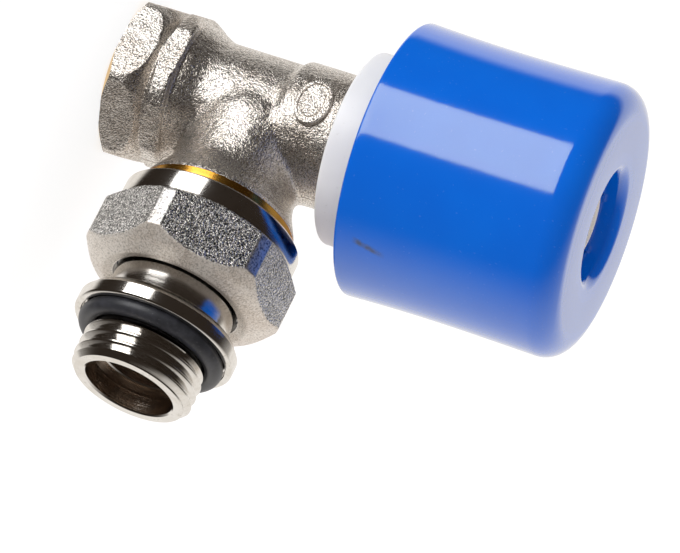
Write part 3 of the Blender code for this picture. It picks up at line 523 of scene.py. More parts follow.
class Wire:
    """A value in a node tree, on which Python's operators add Math nodes."""

    def __init__(self, graph: "Graph", socket: bpy.types.NodeSocket) -> None:
        """Wraps a socket of a graph."""
        self.graph = graph
        self.socket = socket

    def _math(self, operation: str, *others: "Feed", swap: bool = False) -> "Wire":
        """Adds one Math node on this value and the others.

        Args:
            operation: The node's operation.
            *others: Its further values, wires or numbers.
            swap: True where the others come first.

        Returns:
            The wire of the result.
        """
        feeds: list[Feed] = [self, *others]
        if swap:
            feeds.reverse()
        return self.graph.node("ShaderNodeMath", {"operation": operation}, dict(enumerate(feeds)))

    def __add__(self, other: "Feed") -> "Wire":
        """Adds."""
        return self._math("ADD", other)

    def __sub__(self, other: "Feed") -> "Wire":
        """Subtracts."""
        return self._math("SUBTRACT", other)

    def __rsub__(self, other: "Feed") -> "Wire":
        """Subtracts this value from another."""
        return self._math("SUBTRACT", other, swap=True)

    def __mul__(self, other: "Feed") -> "Wire":
        """Multiplies."""
        return self._math("MULTIPLY", other)

    def __truediv__(self, other: "Feed") -> "Wire":
        """Divides."""
        return self._math("DIVIDE", other)

    def __rtruediv__(self, other: "Feed") -> "Wire":
        """Divides another value by this one."""
        return self._math("DIVIDE", other, swap=True)

    def __pow__(self, other: "Feed") -> "Wire":
        """Raises to a power."""
        return self._math("POWER", other)

    def __neg__(self) -> "Wire":
        """Turns the sign round."""
        return self._math("MULTIPLY", -1.0)

    def __abs__(self) -> "Wire":
        """Drops the sign."""
        return self._math("ABSOLUTE")

    __radd__ = __add__
    __rmul__ = __mul__

    def most(self, other: "Feed") -> "Wire":
        """Takes the larger value."""
        return self._math("MAXIMUM", other)

    def least(self, other: "Feed") -> "Wire":
        """Takes the smaller value."""
        return self._math("MINIMUM", other)

    def rise(self, low: float, high: float) -> "Wire":
        """Goes smoothly from 0 at low to 1 at high; low may be the larger one.

        Args:
            low: The value at which the rise starts.
            high: The value at which it ends.

        Returns:
            The wire of the rise.
        """
        if low > high:
            return 1.0 - self.rise(high, low)
        return self.graph.node("ShaderNodeMapRange", {"interpolation_type": "SMOOTHSTEP"},
                               {"Value": self, "From Min": low, "From Max": high})


Feed = Union[Wire, Number, tuple, Vector]


class Graph:
    """A material's or the world's node tree, written as expressions."""

    def __init__(self, owner: Union[bpy.types.Material, bpy.types.World]) -> None:
        """Empties the owner's node tree.

        Args:
            owner: The material or world.
        """
        owner.use_nodes = True
        self.tree = owner.node_tree
        self.tree.nodes.clear()

    def node(self, kind: str, settings: dict[str, object] | None = None,
             inputs: dict[Union[str, int], Feed] | None = None, output: Union[str, int] = 0) -> Wire:
        """Adds a node.

        Args:
            kind: The node's type.
            settings: Its own settings, which are set first.
            inputs: What goes into its sockets, by name or number: a wire, a number or a colour.
            output: The output that is returned.

        Returns:
            The wire of that output.
        """
        made = self.tree.nodes.new(kind)
        for name, value in (settings or {}).items():
            setattr(made, name, value)
        for key, feed in (inputs or {}).items():
            socket = made.inputs[key]
            if isinstance(feed, Wire):
                self.tree.links.new(feed.socket, socket)
            else:
                socket.default_value = feed
        sockets = made.outputs
        chosen = sockets[output] if isinstance(output, str) or len(sockets) > 0 else None
        return Wire(self, chosen)

    def place(self, centre: tuple[float, float, float] = (0, 0, 0)) -> tuple[Wire, Wire, Wire]:
        """Reads the surface's place in the piece's own frame, in millimetres.

        Args:
            centre: The point that counts as zero, in millimetres.

        Returns:
            The wires of x, y and z.
        """
        where = self.node("ShaderNodeTexCoord", output="Object")
        scaled = self.node("ShaderNodeVectorMath", {"operation": "SCALE"}, {0: where, "Scale": 1 / MM})
        moved = self.node("ShaderNodeVectorMath", {"operation": "SUBTRACT"}, {0: scaled, 1: centre})
        split = self.node("ShaderNodeSeparateXYZ", inputs={0: moved})
        outputs = split.socket.node.outputs
        return Wire(self, outputs[0]), Wire(self, outputs[1]), Wire(self, outputs[2])

    def vector(self, x: Feed, y: Feed, z: Feed) -> Wire:
        """Combines three values into a vector."""
        return self.node("ShaderNodeCombineXYZ", inputs={0: x, 1: y, 2: z})

    def noise(self, where: Wire, scale: float, detail: float = 2.0, roughness: float = 0.5,
              distortion: float = 0.0) -> Wire:
        """Adds a cloudy pattern.

        Args:
            where: The place that it reads.
            scale: Its number of waves in a unit of that place.
            detail: Number of finer layers.
            roughness: How strong the finer layers are.
            distortion: How far the pattern is warped.

        Returns:
            The wire of its value, about 0.5 on average.
        """
        return self.node("ShaderNodeTexNoise", {"noise_dimensions": "3D"},
                         {"Vector": where, "Scale": scale, "Detail": detail, "Roughness": roughness,
                          "Distortion": distortion})

    def mix(self, share: Feed, first: Feed, second: Feed) -> Wire:
        """Mixes two colours; the share is the second one's.

        Args:
            share: The second colour's share.
            first: The colour at 0.
            second: The colour at 1.

        Returns:
            The wire of the mixed colour.
        """
        made = self.tree.nodes.new("ShaderNodeMix")
        made.data_type = "RGBA"
        for number, feed in ((0, share), (6, first), (7, second)):
            if isinstance(feed, Wire):
                self.tree.links.new(feed.socket, made.inputs[number])
            elif number:
                made.inputs[number].default_value = (*feed, 1.0)
            else:
                made.inputs[number].default_value = feed
        return Wire(self, made.outputs[2])

    def bump(self, height: Wire, distance: float, under: Wire | None = None) -> Wire:
        """Turns a height into a normal.

        Args:
            height: The height's wire.
            distance: What a height of 1 stands for, in millimetres.
            under: The normal that it is laid over.

        Returns:
            The normal's wire.
        """
        feeds: dict[Union[str, int], Feed] = {"Height": height, "Distance": distance * MM, "Strength": 1.0}
        if under is not None:
            feeds["Normal"] = under
        return self.node("ShaderNodeBump", inputs=feeds)

    def surface(self, feeds: dict[Union[str, int], Feed]) -> None:
        """Ends a material with one Principled shader that takes these values.

        Args:
            feeds: What goes into the shader's sockets, by name.
        """
        ready: dict[Union[str, int], Feed] = {}
        for key, feed in feeds.items():
            is_colour = isinstance(feed, tuple) and len(feed) == 3 and "Color" in str(key)
            ready[key] = (*feed, 1.0) if is_colour else feed
        shader = self.node("ShaderNodeBsdfPrincipled", inputs=ready)
        self.node_end("ShaderNodeOutputMaterial", shader)

    def node_end(self, kind: str, shader: Wire) -> None:
        """Adds the tree's output node and links the shader to it."""
        end = self.tree.nodes.new(kind)
        self.tree.links.new(shader.socket, end.inputs["Surface"])


def new_material(name: str) -> tuple[bpy.types.Material, Graph]:
    """Makes an empty material and its graph."""
    material = bpy.data.materials.new(name)
    return material, Graph(material)


Colour = tuple[float, float, float]


@dataclass(frozen=True)
class BlastedNickel:
    """Sandblasted forging under bright nickel: a coarse grain with warm and cool patches, with painted shade
    darkening its pits and painted glints lightening its specks.
    """

    name: str = "blasted_nickel"
    colour: Colour = (0.82, 0.77, 0.71)
    shade: Colour = (0.68, 0.61, 0.54)
    roughness: float = 0.18
    grain: float = 4.2
    grain_height: float = 0.12
    # Shares of the painted shade in the grain's pits and of the painted glints on its specks.
    pit_shadow: float = 0.6
    painted_glint_share: float = 0.5
    swell_height: float = 0.10
    metal: float = 0.92
    parting_line: bool = False
    coarse_scale: float = 0.42
    coarse_height: float = 0.55
    swell_scale: float = 0.34
    cloud_scale: float = 0.16
    cloud_roughness: float = 0.10
    # Level of the painted pit shade, as a share of the shade tone, and colour of the painted glints.
    pit_shadow_level: float = 0.12
    painted_glint: Colour = (0.98, 0.95, 0.92)
    seam: Colour = (0.16, 0.11, 0.08)
    seam_strength: float = 0.6

    def material(self) -> bpy.types.Material:
        """Builds the finish's material.

        Returns:
            The new material.
        """
        material, graph = new_material(self.name)
        x, y, z = graph.place()
        where = graph.vector(x, y, z)
        fine = graph.noise(where, self.grain, detail=1.5, roughness=0.6)
        coarse = graph.noise(where, self.grain * self.coarse_scale, detail=1.0)
        swell = graph.noise(where, self.swell_scale, detail=2.0)
        cloud = graph.noise(where, self.cloud_scale, detail=3.0, roughness=0.6)
        height = fine + coarse * self.coarse_height
        tint = graph.mix(cloud.rise(0.34, 0.68), self.colour, self.shade)
        # Painted shade: the grain's pits are darkened almost to black in the base colour, standing in for the
        # shadow inside them.
        shaded_pits = fine.rise(0.48, 0.37)
        tint = graph.mix(shaded_pits * self.pit_shadow, tint, tuple(part * self.pit_shadow_level for part in self.shade))
        # Painted highlight: the grain's specks are lightened to near-white in the base colour, standing in
        # for facets that catch the light.
        tint = graph.mix(fine.rise(0.53, 0.64) * self.painted_glint_share, tint, self.painted_glint)
        rough = self.roughness + cloud * self.cloud_roughness
        normal = graph.bump(swell, self.swell_height * 3)
        if self.parting_line:
            waver = (graph.noise(where, 0.25, detail=1.0) - 0.5) * 0.5
            line = abs(y + waver * 0.3).rise(0.20, 0.05)
            broken = graph.noise(where, 0.3, detail=2.0).rise(0.40, 0.56)
            line = line * broken.most(z.rise(34.6, 35.2))
            tint = graph.mix(line * self.seam_strength, tint, self.seam)
        normal = graph.bump(height, self.grain_height, normal)
        graph.surface({"Base Color": tint, "Metallic": self.metal, "Roughness": rough, "Normal": normal})
        return material


@dataclass(frozen=True)
class TurnedMetal:
    """Metal off the lathe: bright, with fine rings round its axis."""

    name: str
    axis: Axis
    colour: Colour
    shade: Colour
    roughness: float = 0.13
    ring_height: float = 0.006
    tarnish: float = 0.5
    metal: float = 1.0
    line_scale: float = 9.0
    wave_scale: float = 1.6
    wave_height: float = 1.2
    line_roughness: float = 0.07
    cloud_roughness: float = 0.04
    spot_strength: float = 0.35
    spot_depth: float = 0.5

    def material(self) -> bpy.types.Material:
        """Builds the finish's material.

        Returns:
            The new material.
        """
        material, graph = new_material(self.name)
        x, y, z = graph.place(tuple(self.axis.base / MM))
        along, side, up = (z, x, y) if self.axis is Axis.SPINDLE else (x, y, z)
        radius = (side * side + up * up) ** 0.5
        rings = graph.vector(along * self.line_scale, radius * self.line_scale, 0.0)
        lines = graph.noise(rings, 1.0, detail=2.0, roughness=0.7)
        waves = graph.vector(along * self.wave_scale, radius * self.wave_scale, 0.0)
        wide = graph.noise(waves, 1.0, detail=1.0)
        place = graph.vector(along, side, up)
        cloud = graph.noise(place, 0.3, detail=3.0, roughness=0.6)
        spots = graph.noise(place, 1.7, detail=2.0).rise(0.64, 0.74)
        tint = graph.mix(cloud.rise(0.35, 0.7) * self.tarnish, self.colour, self.shade)
        stain = tuple(part * self.spot_depth for part in self.shade)
        tint = graph.mix(spots * self.spot_strength, tint, stain)
        rough = self.roughness + lines * self.line_roughness + cloud * self.cloud_roughness
        normal = graph.bump(lines + wide * self.wave_height, self.ring_height)
        graph.surface({"Base Color": tint, "Metallic": self.metal, "Roughness": rough, "Normal": normal})
        return material


@dataclass(frozen=True)
class GlossPlastic:
    """Bright moulded plastic with specks of dust, fine scratches and a rubbed black scuff."""

    name: str = "blue_plastic"
    colour: Colour = (0.0, 0.134, 0.68)
    shade: Colour = (0.0, 0.120, 0.64)
    roughness: float = 0.10
    scuff_bearing: float = -22.5
    scuff_from: float = 48.5
    scuff_to: float = 53.9
    scuff_start: float = -0.80
    scuff_slope: float = 0.29
    scuff_width: float = 0.80
    scuff_colour: Colour = (0.040, 0.055, 0.105)
    scuff_strength: float = 0.86
    scuff_roughness: float = 0.4
    speck: Colour = (0.25, 0.42, 0.80)
    speck_strength: float = 0.10
    index: float = 1.60
    edge_tint: Colour = (1.0, 1.0, 0.35)
    coat: float = 0.7
    coat_roughness: float = 0.09
    coat_index: float = 1.5

    def material(self) -> bpy.types.Material:
        """Builds the finish's material.

        Returns:
            The new material.
        """
        material, graph = new_material(self.name)
        x, y, z = graph.place()
        where = graph.vector(x, y, z)
        cloud = graph.noise(where, 0.07, detail=2.0)
        tint = graph.mix(cloud.rise(0.3, 0.7), self.colour, self.shade)
        specks = graph.noise(where, 2.6, detail=0.0).rise(0.80, 0.83)
        tint = graph.mix(specks * self.speck_strength, tint, self.speck)
        turn = math.radians(self.scuff_bearing)
        across = x * -math.sin(turn) + y * math.cos(turn)
        front = (x * math.cos(turn) + y * math.sin(turn)).rise(15.0, 18.0)
        ragged = graph.noise(graph.vector(across * 3.0, z * 1.1, x), 1.0, detail=3.0, roughness=0.65)
        middle = (z - self.scuff_from) * self.scuff_slope + self.scuff_start
        streak = abs(across - middle + (ragged - 0.5) * 0.4).rise(self.scuff_width, 0.12)
        length = z.rise(self.scuff_from - 0.5, self.scuff_from + 0.6)
        length = length * z.rise(self.scuff_to, self.scuff_to - 1.6)
        gaps = graph.noise(graph.vector(across, z * 0.8, x), 0.7, detail=2.0).rise(0.38, 0.58)
        scuff = streak * length * front * (0.45 + gaps * 0.55)
        tint = graph.mix(scuff.least(1.0) * self.scuff_strength, tint, self.scuff_colour)
        rough = self.roughness + scuff * self.scuff_roughness + cloud * 0.03
        orange = graph.noise(where, 0.55, detail=1.0)
        normal = graph.bump(orange, 0.010)
        graph.surface({"Base Color": tint, "Roughness": rough, "Normal": normal, "IOR": self.index,
                       "Specular Tint": (*self.edge_tint, 1.0), "Coat Weight": self.coat,
                       "Coat Roughness": self.coat_roughness, "Coat IOR": self.coat_index})
        return material


@dataclass(frozen=True)
class MattPlastic:
    """Milky moulded plastic with a soft sheen and faint flow marks."""

    name: str = "white_plastic"
    colour: Colour = (0.83, 0.83, 0.84)
    shade: Colour = (0.77, 0.77, 0.79)
    roughness: float = 0.36
    dirt: Colour = (0.42, 0.40, 0.37)
    dirt_strength: float = 0.25

    def material(self) -> bpy.types.Material:
        """Builds the finish's material.

        Returns:
            The new material.
        """
        material, graph = new_material(self.name)
        x, y, z = graph.place()
        where = graph.vector(x, y, z)
        cloud = graph.noise(where, 0.12, detail=2.0)
        flow = graph.noise(graph.vector(x * 0.4, y * 0.4, z * 2.4), 1.0, detail=2.0)
        spots = graph.noise(where, 1.6, detail=2.0).rise(0.68, 0.78)
        tint = graph.mix(cloud.rise(0.3, 0.7), self.colour, self.shade)
        tint = graph.mix(spots * self.dirt_strength, tint, self.dirt)
        normal = graph.bump(flow + graph.noise(where, 3.0, detail=1.0) * 0.5, 0.008)
        graph.surface({"Base Color": tint, "Roughness": self.roughness + flow * 0.08, "Normal": normal,
                       "Subsurface Weight": 0.12, "Subsurface Radius": (0.9 * MM, 0.9 * MM, 1.0 * MM),
                       "Subsurface Scale": 1.0})
        return material


@dataclass(frozen=True)
class Rubber:
    """Black moulded rubber, matt, with a faint bloom and dust."""

    name: str = "black_rubber"
    colour: Colour = (0.022, 0.023, 0.027)
    bloom: Colour = (0.046, 0.047, 0.058)
    roughness: float = 0.31
    dust: Colour = (0.20, 0.20, 0.21)
    dust_strength: float = 0.35

    def material(self) -> bpy.types.Material:
        """Builds the finish's material.

        Returns:
            The new material.
        """
        material, graph = new_material(self.name)
        x, y, z = graph.place()
        where = graph.vector(x, y, z)
        cloud = graph.noise(where, 0.5, detail=3.0, roughness=0.6)
        motes = graph.noise(where, 3.6, detail=1.0).rise(0.70, 0.78)
        tint = graph.mix(cloud.rise(0.35, 0.75) * 0.7, self.colour, self.bloom)
        tint = graph.mix(motes * self.dust_strength, tint, self.dust)
        normal = graph.bump(graph.noise(where, 5.0, detail=2.0) + cloud, 0.010)
        graph.surface({"Base Color": tint, "Roughness": self.roughness + cloud * 0.15, "Normal": normal})
        return material


@dataclass(frozen=True)
class Fibre:
    """Pressed white fibre board, matt and flecked."""

    name: str = "white_fibre"
    colour: Colour = (0.76, 0.73, 0.66)
    fleck: Colour = (0.55, 0.50, 0.42)

    def material(self) -> bpy.types.Material:
        """Builds the finish's material.

        Returns:
            The new material.
        """
        material, graph = new_material(self.name)
        x, y, z = graph.place()
        hairs = graph.noise(graph.vector(x * 6.0, y * 1.4, z * 1.4), 1.0, detail=3.0, distortion=0.6)
        tint = graph.mix(hairs.rise(0.45, 0.7), self.colour, self.fleck)
        graph.surface({"Base Color": tint, "Roughness": 0.8 + hairs * 0.1, "Normal": graph.bump(hairs, 0.03)})
        return material


@dataclass
class Palette:
    """All finishes, made once."""

    forging: bpy.types.Material = field(init=False)
    nut_flats: bpy.types.Material = field(init=False)
    nut_corners: bpy.types.Material = field(init=False)
    nut_face: bpy.types.Material = field(init=False)
    outlet_nickel: bpy.types.Material = field(init=False)
    bore: bpy.types.Material = field(init=False)
    outlet_brass: bpy.types.Material = field(init=False)
    inlet_brass: bpy.types.Material = field(init=False)
    insert: bpy.types.Material = field(init=False)
    steel: bpy.types.Material = field(init=False)
    blue: bpy.types.Material = field(init=False)
    white: bpy.types.Material = field(init=False)
    rubber: bpy.types.Material = field(init=False)
    fibre: bpy.types.Material = field(init=False)

    def __post_init__(self) -> None:
        """Builds every finish."""
        # The blasted finishes below paint shade into their pits and glints onto their grain; the nut's flats
        # do so at full strength.
        self.forging = BlastedNickel(parting_line=True).material()
        self.nut_flats = BlastedNickel("nut_flats", (0.66, 0.645, 0.63), (0.54, 0.525, 0.50), roughness=0.20,
                                       grain=3.6, grain_height=0.38, pit_shadow=1.0, painted_glint_share=1.0,
                                       swell_height=0.01, metal=0.96).material()
        self.nut_corners = BlastedNickel("nut_corners", (0.80, 0.78, 0.76), (0.68, 0.64, 0.60),
                                         roughness=0.26, grain=3.0, grain_height=0.05, pit_shadow=0.7,
                                         swell_height=0.02).material()
        self.nut_face = BlastedNickel("nut_face", (0.82, 0.77, 0.70), (0.70, 0.63, 0.55), roughness=0.40,
                                      grain=3.6, grain_height=0.05, pit_shadow=0.35,
                                      swell_height=0.02, metal=0.6).material()
        self.outlet_nickel = TurnedMetal("outlet_nickel", Axis.OUTLET, (0.78, 0.755, 0.72),
                                         (0.62, 0.57, 0.50), 0.075).material()
        self.bore = TurnedMetal("bore_nickel", Axis.OUTLET, (0.72, 0.62, 0.53), (0.44, 0.33, 0.26),
                                0.17, 0.034).material()
        self.outlet_brass = TurnedMetal("outlet_brass", Axis.OUTLET, (0.80, 0.43, 0.08), (0.62, 0.27, 0.03),
                                        0.17, 0.008).material()
        self.inlet_brass = TurnedMetal("inlet_brass", Axis.SPINDLE, (0.86, 0.58, 0.24), (0.72, 0.44, 0.16),
                                       0.24, 0.008).material()
        # Pale nickel tone, lifted to near-white and made barely metallic: a painted reflection that stands in
        # for the bright light the nickel head reflects.
        self.insert = TurnedMetal("insert_painted_reflection", Axis.SPINDLE, (0.97, 0.93, 0.84), (0.90, 0.84, 0.72),
                                  0.34, 0.006, metal=0.15).material()
        self.steel = TurnedMetal("steel", Axis.SPINDLE, (0.60, 0.60, 0.61), (0.48, 0.48, 0.49),
                                 0.24).material()
        self.blue = GlossPlastic().material()
        self.white = MattPlastic().material()
        self.rubber = Rubber().material()
        self.fibre = Fibre().material()


@dataclass
class ForgedBody:
    """The brass body: inlet hexagon, band, barrel, neck with its oval pad, and the branch with its thread."""

    palette: Palette
    hexagon_flats: float = 25.0
    hexagon_corner: float = 14.1
    hexagon_length: float = 6.9
    hexagon_round: float = 4.2
    end_chamfer: float = 1.0
    chamfer_run: float = 1.4
    groove: float = 11.7
    band_flats: float = 25.4
    band_corner: float = 13.4
    band_length: float = 3.4
    trim: float = 1.7
    trim_bearing: float = -150.0
    barrel: float = 10.2
    barrel_shoulder: float = 4.6
    neck: float = 11.15
    neck_foot: float = 28.6
    neck_rise: float = 1.6
    neck_thread: float = 11.0
    neck_thread_foot: float = 37.5
    neck_top: float = 42.5
    pad_bearing: float = -87.0
    pad_height: float = 33.3
    pad_length: float = 5.9
    pad_width: float = 7.9
    pad_proud: float = 0.55
    branch: float = 10.35
    branch_root: float = 10.9
    branch_root_end: float = 9.6
    root_back: float = 6.0
    flare_start: float = 11.6
    shoulder: float = 13.0
    shoulder_at: float = 18.0
    skin_end: float = 18.5
    land_end: float = 20.9
    thread: ThreadForm = field(default_factory=lambda: ThreadForm(13.05, 11.9))
    thread_end: float = 28.4
    thread_chamfer: float = 0.9
    inlet_tap: ThreadForm = field(default_factory=lambda: ThreadForm(10.35, 9.5))
    inlet_bore: float = 9.75
    inlet_depth: float = 11.5
    seat_port: float = 6.2
    seat_floor: float = 15.2
    seat_lip: float = 7.0
    chamber: float = 8.5
    bonnet_bore: float = 9.3
    bonnet_bore_foot: float = 35.4
    outlet_bore: float = 7.4
    drill_angle: float = 12.0
    stock: float = 1.6
    envelope_stock: float = 1.2
    arch_end: float = 66.0
    band_lead: float = 0.6
    band_lead_rise: float = 0.5
    band_break: float = 0.3
    band_break_drop: float = 0.2
    trim_block: float = 24.0
    parting_reach: float = 0.5
    parting_root: float = 0.04
    parting_below: float = 0.42
    parting_above: float = 0.28
    pad_draft: float = 0.20
    pad_rim: float = 0.34
    pad_step: float = 0.14
    pad_sink: float = 0.30
    pad_gutter: float = 0.50
    pad_field_rise: float = 0.22
    fillet_start: float = -5.0
    fillet_full: float = -2.0
    fillet_fade: float = 16.0
    fillet_end: float = 18.2
    fillet_reach: float = 5.2
    fillet_core: float = 1.8
    fillet_rounds: int = 80
    quick_rounds: int = 30
    skin_cell: float = 0.27
    quick_cell: float = 0.42
    skin_softness: float = 0.8
    clear_radius: float = 40.0
    clear_height: float = 60.0

    @property
    def band_foot(self) -> float:
        """Height where the band starts."""
        return self.hexagon_length + 0.3

    @property
    def band_top(self) -> float:
        """Height where the band ends."""
        return self.band_foot + self.band_length

    def inlet_boss(self) -> bpy.types.Object:
        """Forges the hexagon, whose flats end in arches at its rounded rear.

        Returns:
            The hexagon, longer than its face.
        """
        blank = Bench.bar("inlet_boss", Axis.SPINDLE, 6, self.hexagon_flats, -self.stock,
                          self.hexagon_length + 1)
        centre = self.hexagon_corner - self.hexagon_round
        foot = self.hexagon_length - self.hexagon_round
        outline = [(0, -self.envelope_stock), (self.hexagon_corner, -self.envelope_stock)]
        outline += arc(centre, foot, self.hexagon_round, 0, self.arch_end, 10)
        outline += [(self.groove, self.hexagon_length + 0.1), (0, self.hexagon_length + 0.6)]
        return Bench.combine(blank, Bench.lathe("inlet_envelope", Axis.SPINDLE, outline), Fit.KEEP_COMMON)

    def inlet_band(self) -> bpy.types.Object:
        """Forges the band behind the hexagon, its far flat trimmed where the flash was.

        Returns:
            The band.
        """
        blank = Bench.bar("inlet_band", Axis.SPINDLE, 6, self.band_flats, self.band_foot - 1,
                          self.band_top + 1)
        corner = self.band_corner
        outline = [(0, self.band_foot), (corner - self.band_lead, self.band_foot),
                   (corner, self.band_foot + self.band_lead_rise),
                   (corner, self.band_top - self.band_break_drop), (corner - self.band_break, self.band_top),
                   (0, self.band_top)]
        Bench.combine(blank, Bench.lathe("band_envelope", Axis.SPINDLE, outline), Fit.KEEP_COMMON)
        Bench.put_down()
        bearing = math.radians(self.trim_bearing)
        out = Vector((math.cos(bearing), math.sin(bearing), 0))
        edge = out * (self.band_flats / 2 - self.trim) + Vector((0, 0, self.band_top))
        centre = edge + (out + Vector((0, 0, 1))).normalized() * (self.trim_block / 2)
        bpy.ops.mesh.primitive_cube_add(size=self.trim_block * MM, location=centre * MM,
                                        rotation=(0, math.radians(45), bearing))
        tool = Bench.named("flash_trim")
        bpy.ops.object.transform_apply(location=True, rotation=True, scale=True)
        return Bench.combine(blank, tool, Fit.TAKE_AWAY)

    def parting_groove(self) -> bpy.types.Object:
        """Shapes the narrow groove that parts the hexagon from the band.

        Returns:
            The cutter.
        """
        level = self.band_foot - HAIR
        root, outside = self.groove - self.parting_reach, self.hexagon_corner + 1
        outline = [(root, level - self.parting_root), (outside, level - self.parting_below),
                   (outside, level + self.parting_above), (root, level + self.parting_root)]
        return Bench.lathe("parting_groove", Axis.SPINDLE, outline)

    def upright(self) -> bpy.types.Object:
        """Forges the barrel and the neck.

        Returns:
            The upright part of the body.
        """
        sink = self.groove - self.barrel
        outline = [(0, self.hexagon_length / 2), (self.groove, self.hexagon_length / 2),
                   (self.groove, self.band_top)]
        for step in range(1, 11):
            share = step / 10
            outline.append((self.groove - sink * (1 - math.cos(math.pi * share)) / 2,
                            self.band_top + self.barrel_shoulder * share))
        outline.append((self.barrel, self.neck_foot - self.neck_rise))
        for step in range(1, 7):
            share = step / 6
            outline.append((self.barrel + (self.neck - self.barrel) * (1 - math.cos(math.pi * share)) / 2,
                            self.neck_foot - self.neck_rise * (1 - share)))
        outline += [(self.neck, self.neck_thread_foot), (self.neck_thread, self.neck_thread_foot + 0.4),
                    (self.neck_thread, self.neck_top), (0, self.neck_top)]
        return Bench.lathe("forged_body", Axis.SPINDLE, outline)

    def side_branch(self) -> bpy.types.Object:
        """Forges the branch, full at its root, waisted and flared.

        Returns:
            The branch, longer than its skin.
        """
        root_start = self.barrel / 2
        reach = root_start + self.root_back
        outline = [(0, -self.root_back + 0.2)]
        for step in range(1, 13):
            share = step / 12
            outline.append((self.branch_root * math.sqrt(1 - (1 - share) ** 2),
                            reach * share - self.root_back))
        drop = self.branch_root - self.branch
        for step in range(1, 9):
            share = step / 8
            outline.append((self.branch_root - drop * math.sin(math.pi / 2 * share),
                            root_start + (self.branch_root_end - root_start) * share))
        for step in range(9):
            share = step / 8
            rise = (self.shoulder - 0.1 - self.branch) * (1 - math.cos(math.pi / 2 * share ** 0.9))
            outline.append((self.branch + rise,
                            self.flare_start + (self.shoulder_at - self.flare_start) * share))
        outline += [(self.shoulder + 0.02, self.skin_end + 1.0), (0, self.skin_end + 1.0)]
        return Bench.lathe("side_branch", Axis.OUTLET, outline)

    def oval_pad(self) -> bpy.types.Object:
        """Forms the oval pad on the neck: drafted sides, a raised rim and a bare, sunk centre.

        Returns:
            The pad, in its place on the neck.
        """
        Bench.put_down()
        bpy.ops.mesh.primitive_cylinder_add(vertices=72, radius=MM, depth=MM)
        pad = Bench.named("oval_pad")
        bearing = math.radians(self.pad_bearing)
        out = Vector((math.cos(bearing), math.sin(bearing), 0))
        up = Vector((0, 0, 1))
        side = up.cross(out)
        Bench.open_up(pad)
        depth = self.neck / 2 + self.pad_proud
        bpy.ops.transform.resize(value=(self.pad_width / 2, self.pad_length / 2, depth),
                                 center_override=(0, 0, 0))
        Bench.pick(pad, lambda centre, normal: normal.z > 0.9)
        bpy.ops.mesh.bevel(offset=self.pad_draft * MM, segments=3, affect="EDGES")
        Bench.pick(pad, lambda centre, normal: normal.z > 0.99)
        for width, rise in ((self.pad_rim, 0.0), (self.pad_step, -self.pad_sink), (self.pad_gutter, 0.0),
                            (self.pad_step, self.pad_field_rise)):
            bpy.ops.mesh.inset(thickness=width * MM, depth=rise * MM)
        bpy.ops.object.mode_set(mode="OBJECT")
        middle = out * (self.neck / 2 + depth / 2) * MM + up * self.pad_height * MM
        frame = Matrix((side, up, out)).transposed().to_4x4()
        pad.matrix_world = Matrix.Translation(middle) @ frame
        bpy.ops.object.transform_apply(location=True, rotation=True, scale=True)
        return Bench.clean_up(pad)

    def fillet_weight(self, place: Vector) -> float:
        """Weighs how much the forging is rounded at a place: fully in the corners round the branch.

        Args:
            place: The place, in metres.

        Returns:
            The weight, 0 to 1.
        """
        upright, level = Axis.SPINDLE.radius(place), Axis.OUTLET.radius(place)
        x, z = place.x / MM, place.z / MM
        if x < self.fillet_start or x > self.fillet_end:
            return 0.0
        near = max(abs(upright - self.neck), abs(level - self.branch_root + 0.4))
        corner = ease(self.fillet_reach, self.fillet_core, near)
        corner *= ease(self.fillet_start, self.fillet_full, x)
        corner *= ease(self.fillet_end, self.fillet_fade, x)
        return corner * ease(self.band_top - 0.4, self.band_top + 1.2, z)

    def waterways(self) -> bpy.types.Object:
        """Shapes the cutter for the bores: inlet, seat, chamber, headpiece and outlet.

        Returns:
            The cutter.
        """
        drill = self.seat_floor - self.inlet_bore * math.tan(math.radians(self.drill_angle))
        lip = self.seat_floor + 1.0
        outline = [(0, -OVERRUN), (self.inlet_bore + 1.0 + OVERRUN, -OVERRUN), (self.inlet_bore, 1.0),
                   (self.inlet_bore, self.inlet_depth), (self.seat_port, drill), (self.seat_port, lip),
                   (self.seat_lip, lip), (self.seat_lip, self.seat_floor), (self.chamber, self.seat_floor),
                   (self.chamber, self.bonnet_bore_foot), (self.bonnet_bore, self.bonnet_bore_foot + 0.3),
                   (self.bonnet_bore, self.neck_top + OVERRUN), (0, self.neck_top + OVERRUN)]
        bores = Bench.lathe("waterways", Axis.SPINDLE, outline, 96)
        level = [(0, 0.0), (self.outlet_bore, 0.0), (self.outlet_bore, self.thread_end - 0.5),
                 (self.outlet_bore + 1.0, self.thread_end + 0.5), (0, self.thread_end + 0.5)]
        outlet = Bench.lathe("outlet_bore", Axis.OUTLET, level, 96)
        Bench.combine(bores, outlet, Fit.JOIN)
        tap = self.inlet_tap.bar("inlet_tap", Axis.SPINDLE, -1.0, self.inlet_depth - 1.2)
        return Bench.combine(bores, tap, Fit.JOIN)

    def union_end(self) -> bpy.types.Object:
        """Turns the bare brass end of the branch: a smooth land and the union's thread.

        Returns:
            The branch's end.
        """
        start = self.land_end - 0.4
        bar = self.thread.bar("union_end", Axis.OUTLET, start - 0.3, self.thread_end + 0.2)
        end = self.thread_end
        crest = self.thread.crest + 0.05
        outline = [(0, start), (crest, start), (crest, end - self.thread_chamfer),
                   (crest - self.thread_chamfer, end), (0, end)]
        Bench.combine(bar, Bench.lathe("thread_envelope", Axis.OUTLET, outline), Fit.KEEP_COMMON)
        foot, land_radius = self.skin_end - 0.3, self.shoulder - HAIR
        land = [(0, foot), (land_radius, foot), (land_radius, self.land_end - HAIR),
                (self.shoulder - 0.5, self.land_end), (0, self.land_end)]
        return Bench.combine(bar, Bench.lathe("land", Axis.OUTLET, land), Fit.JOIN)

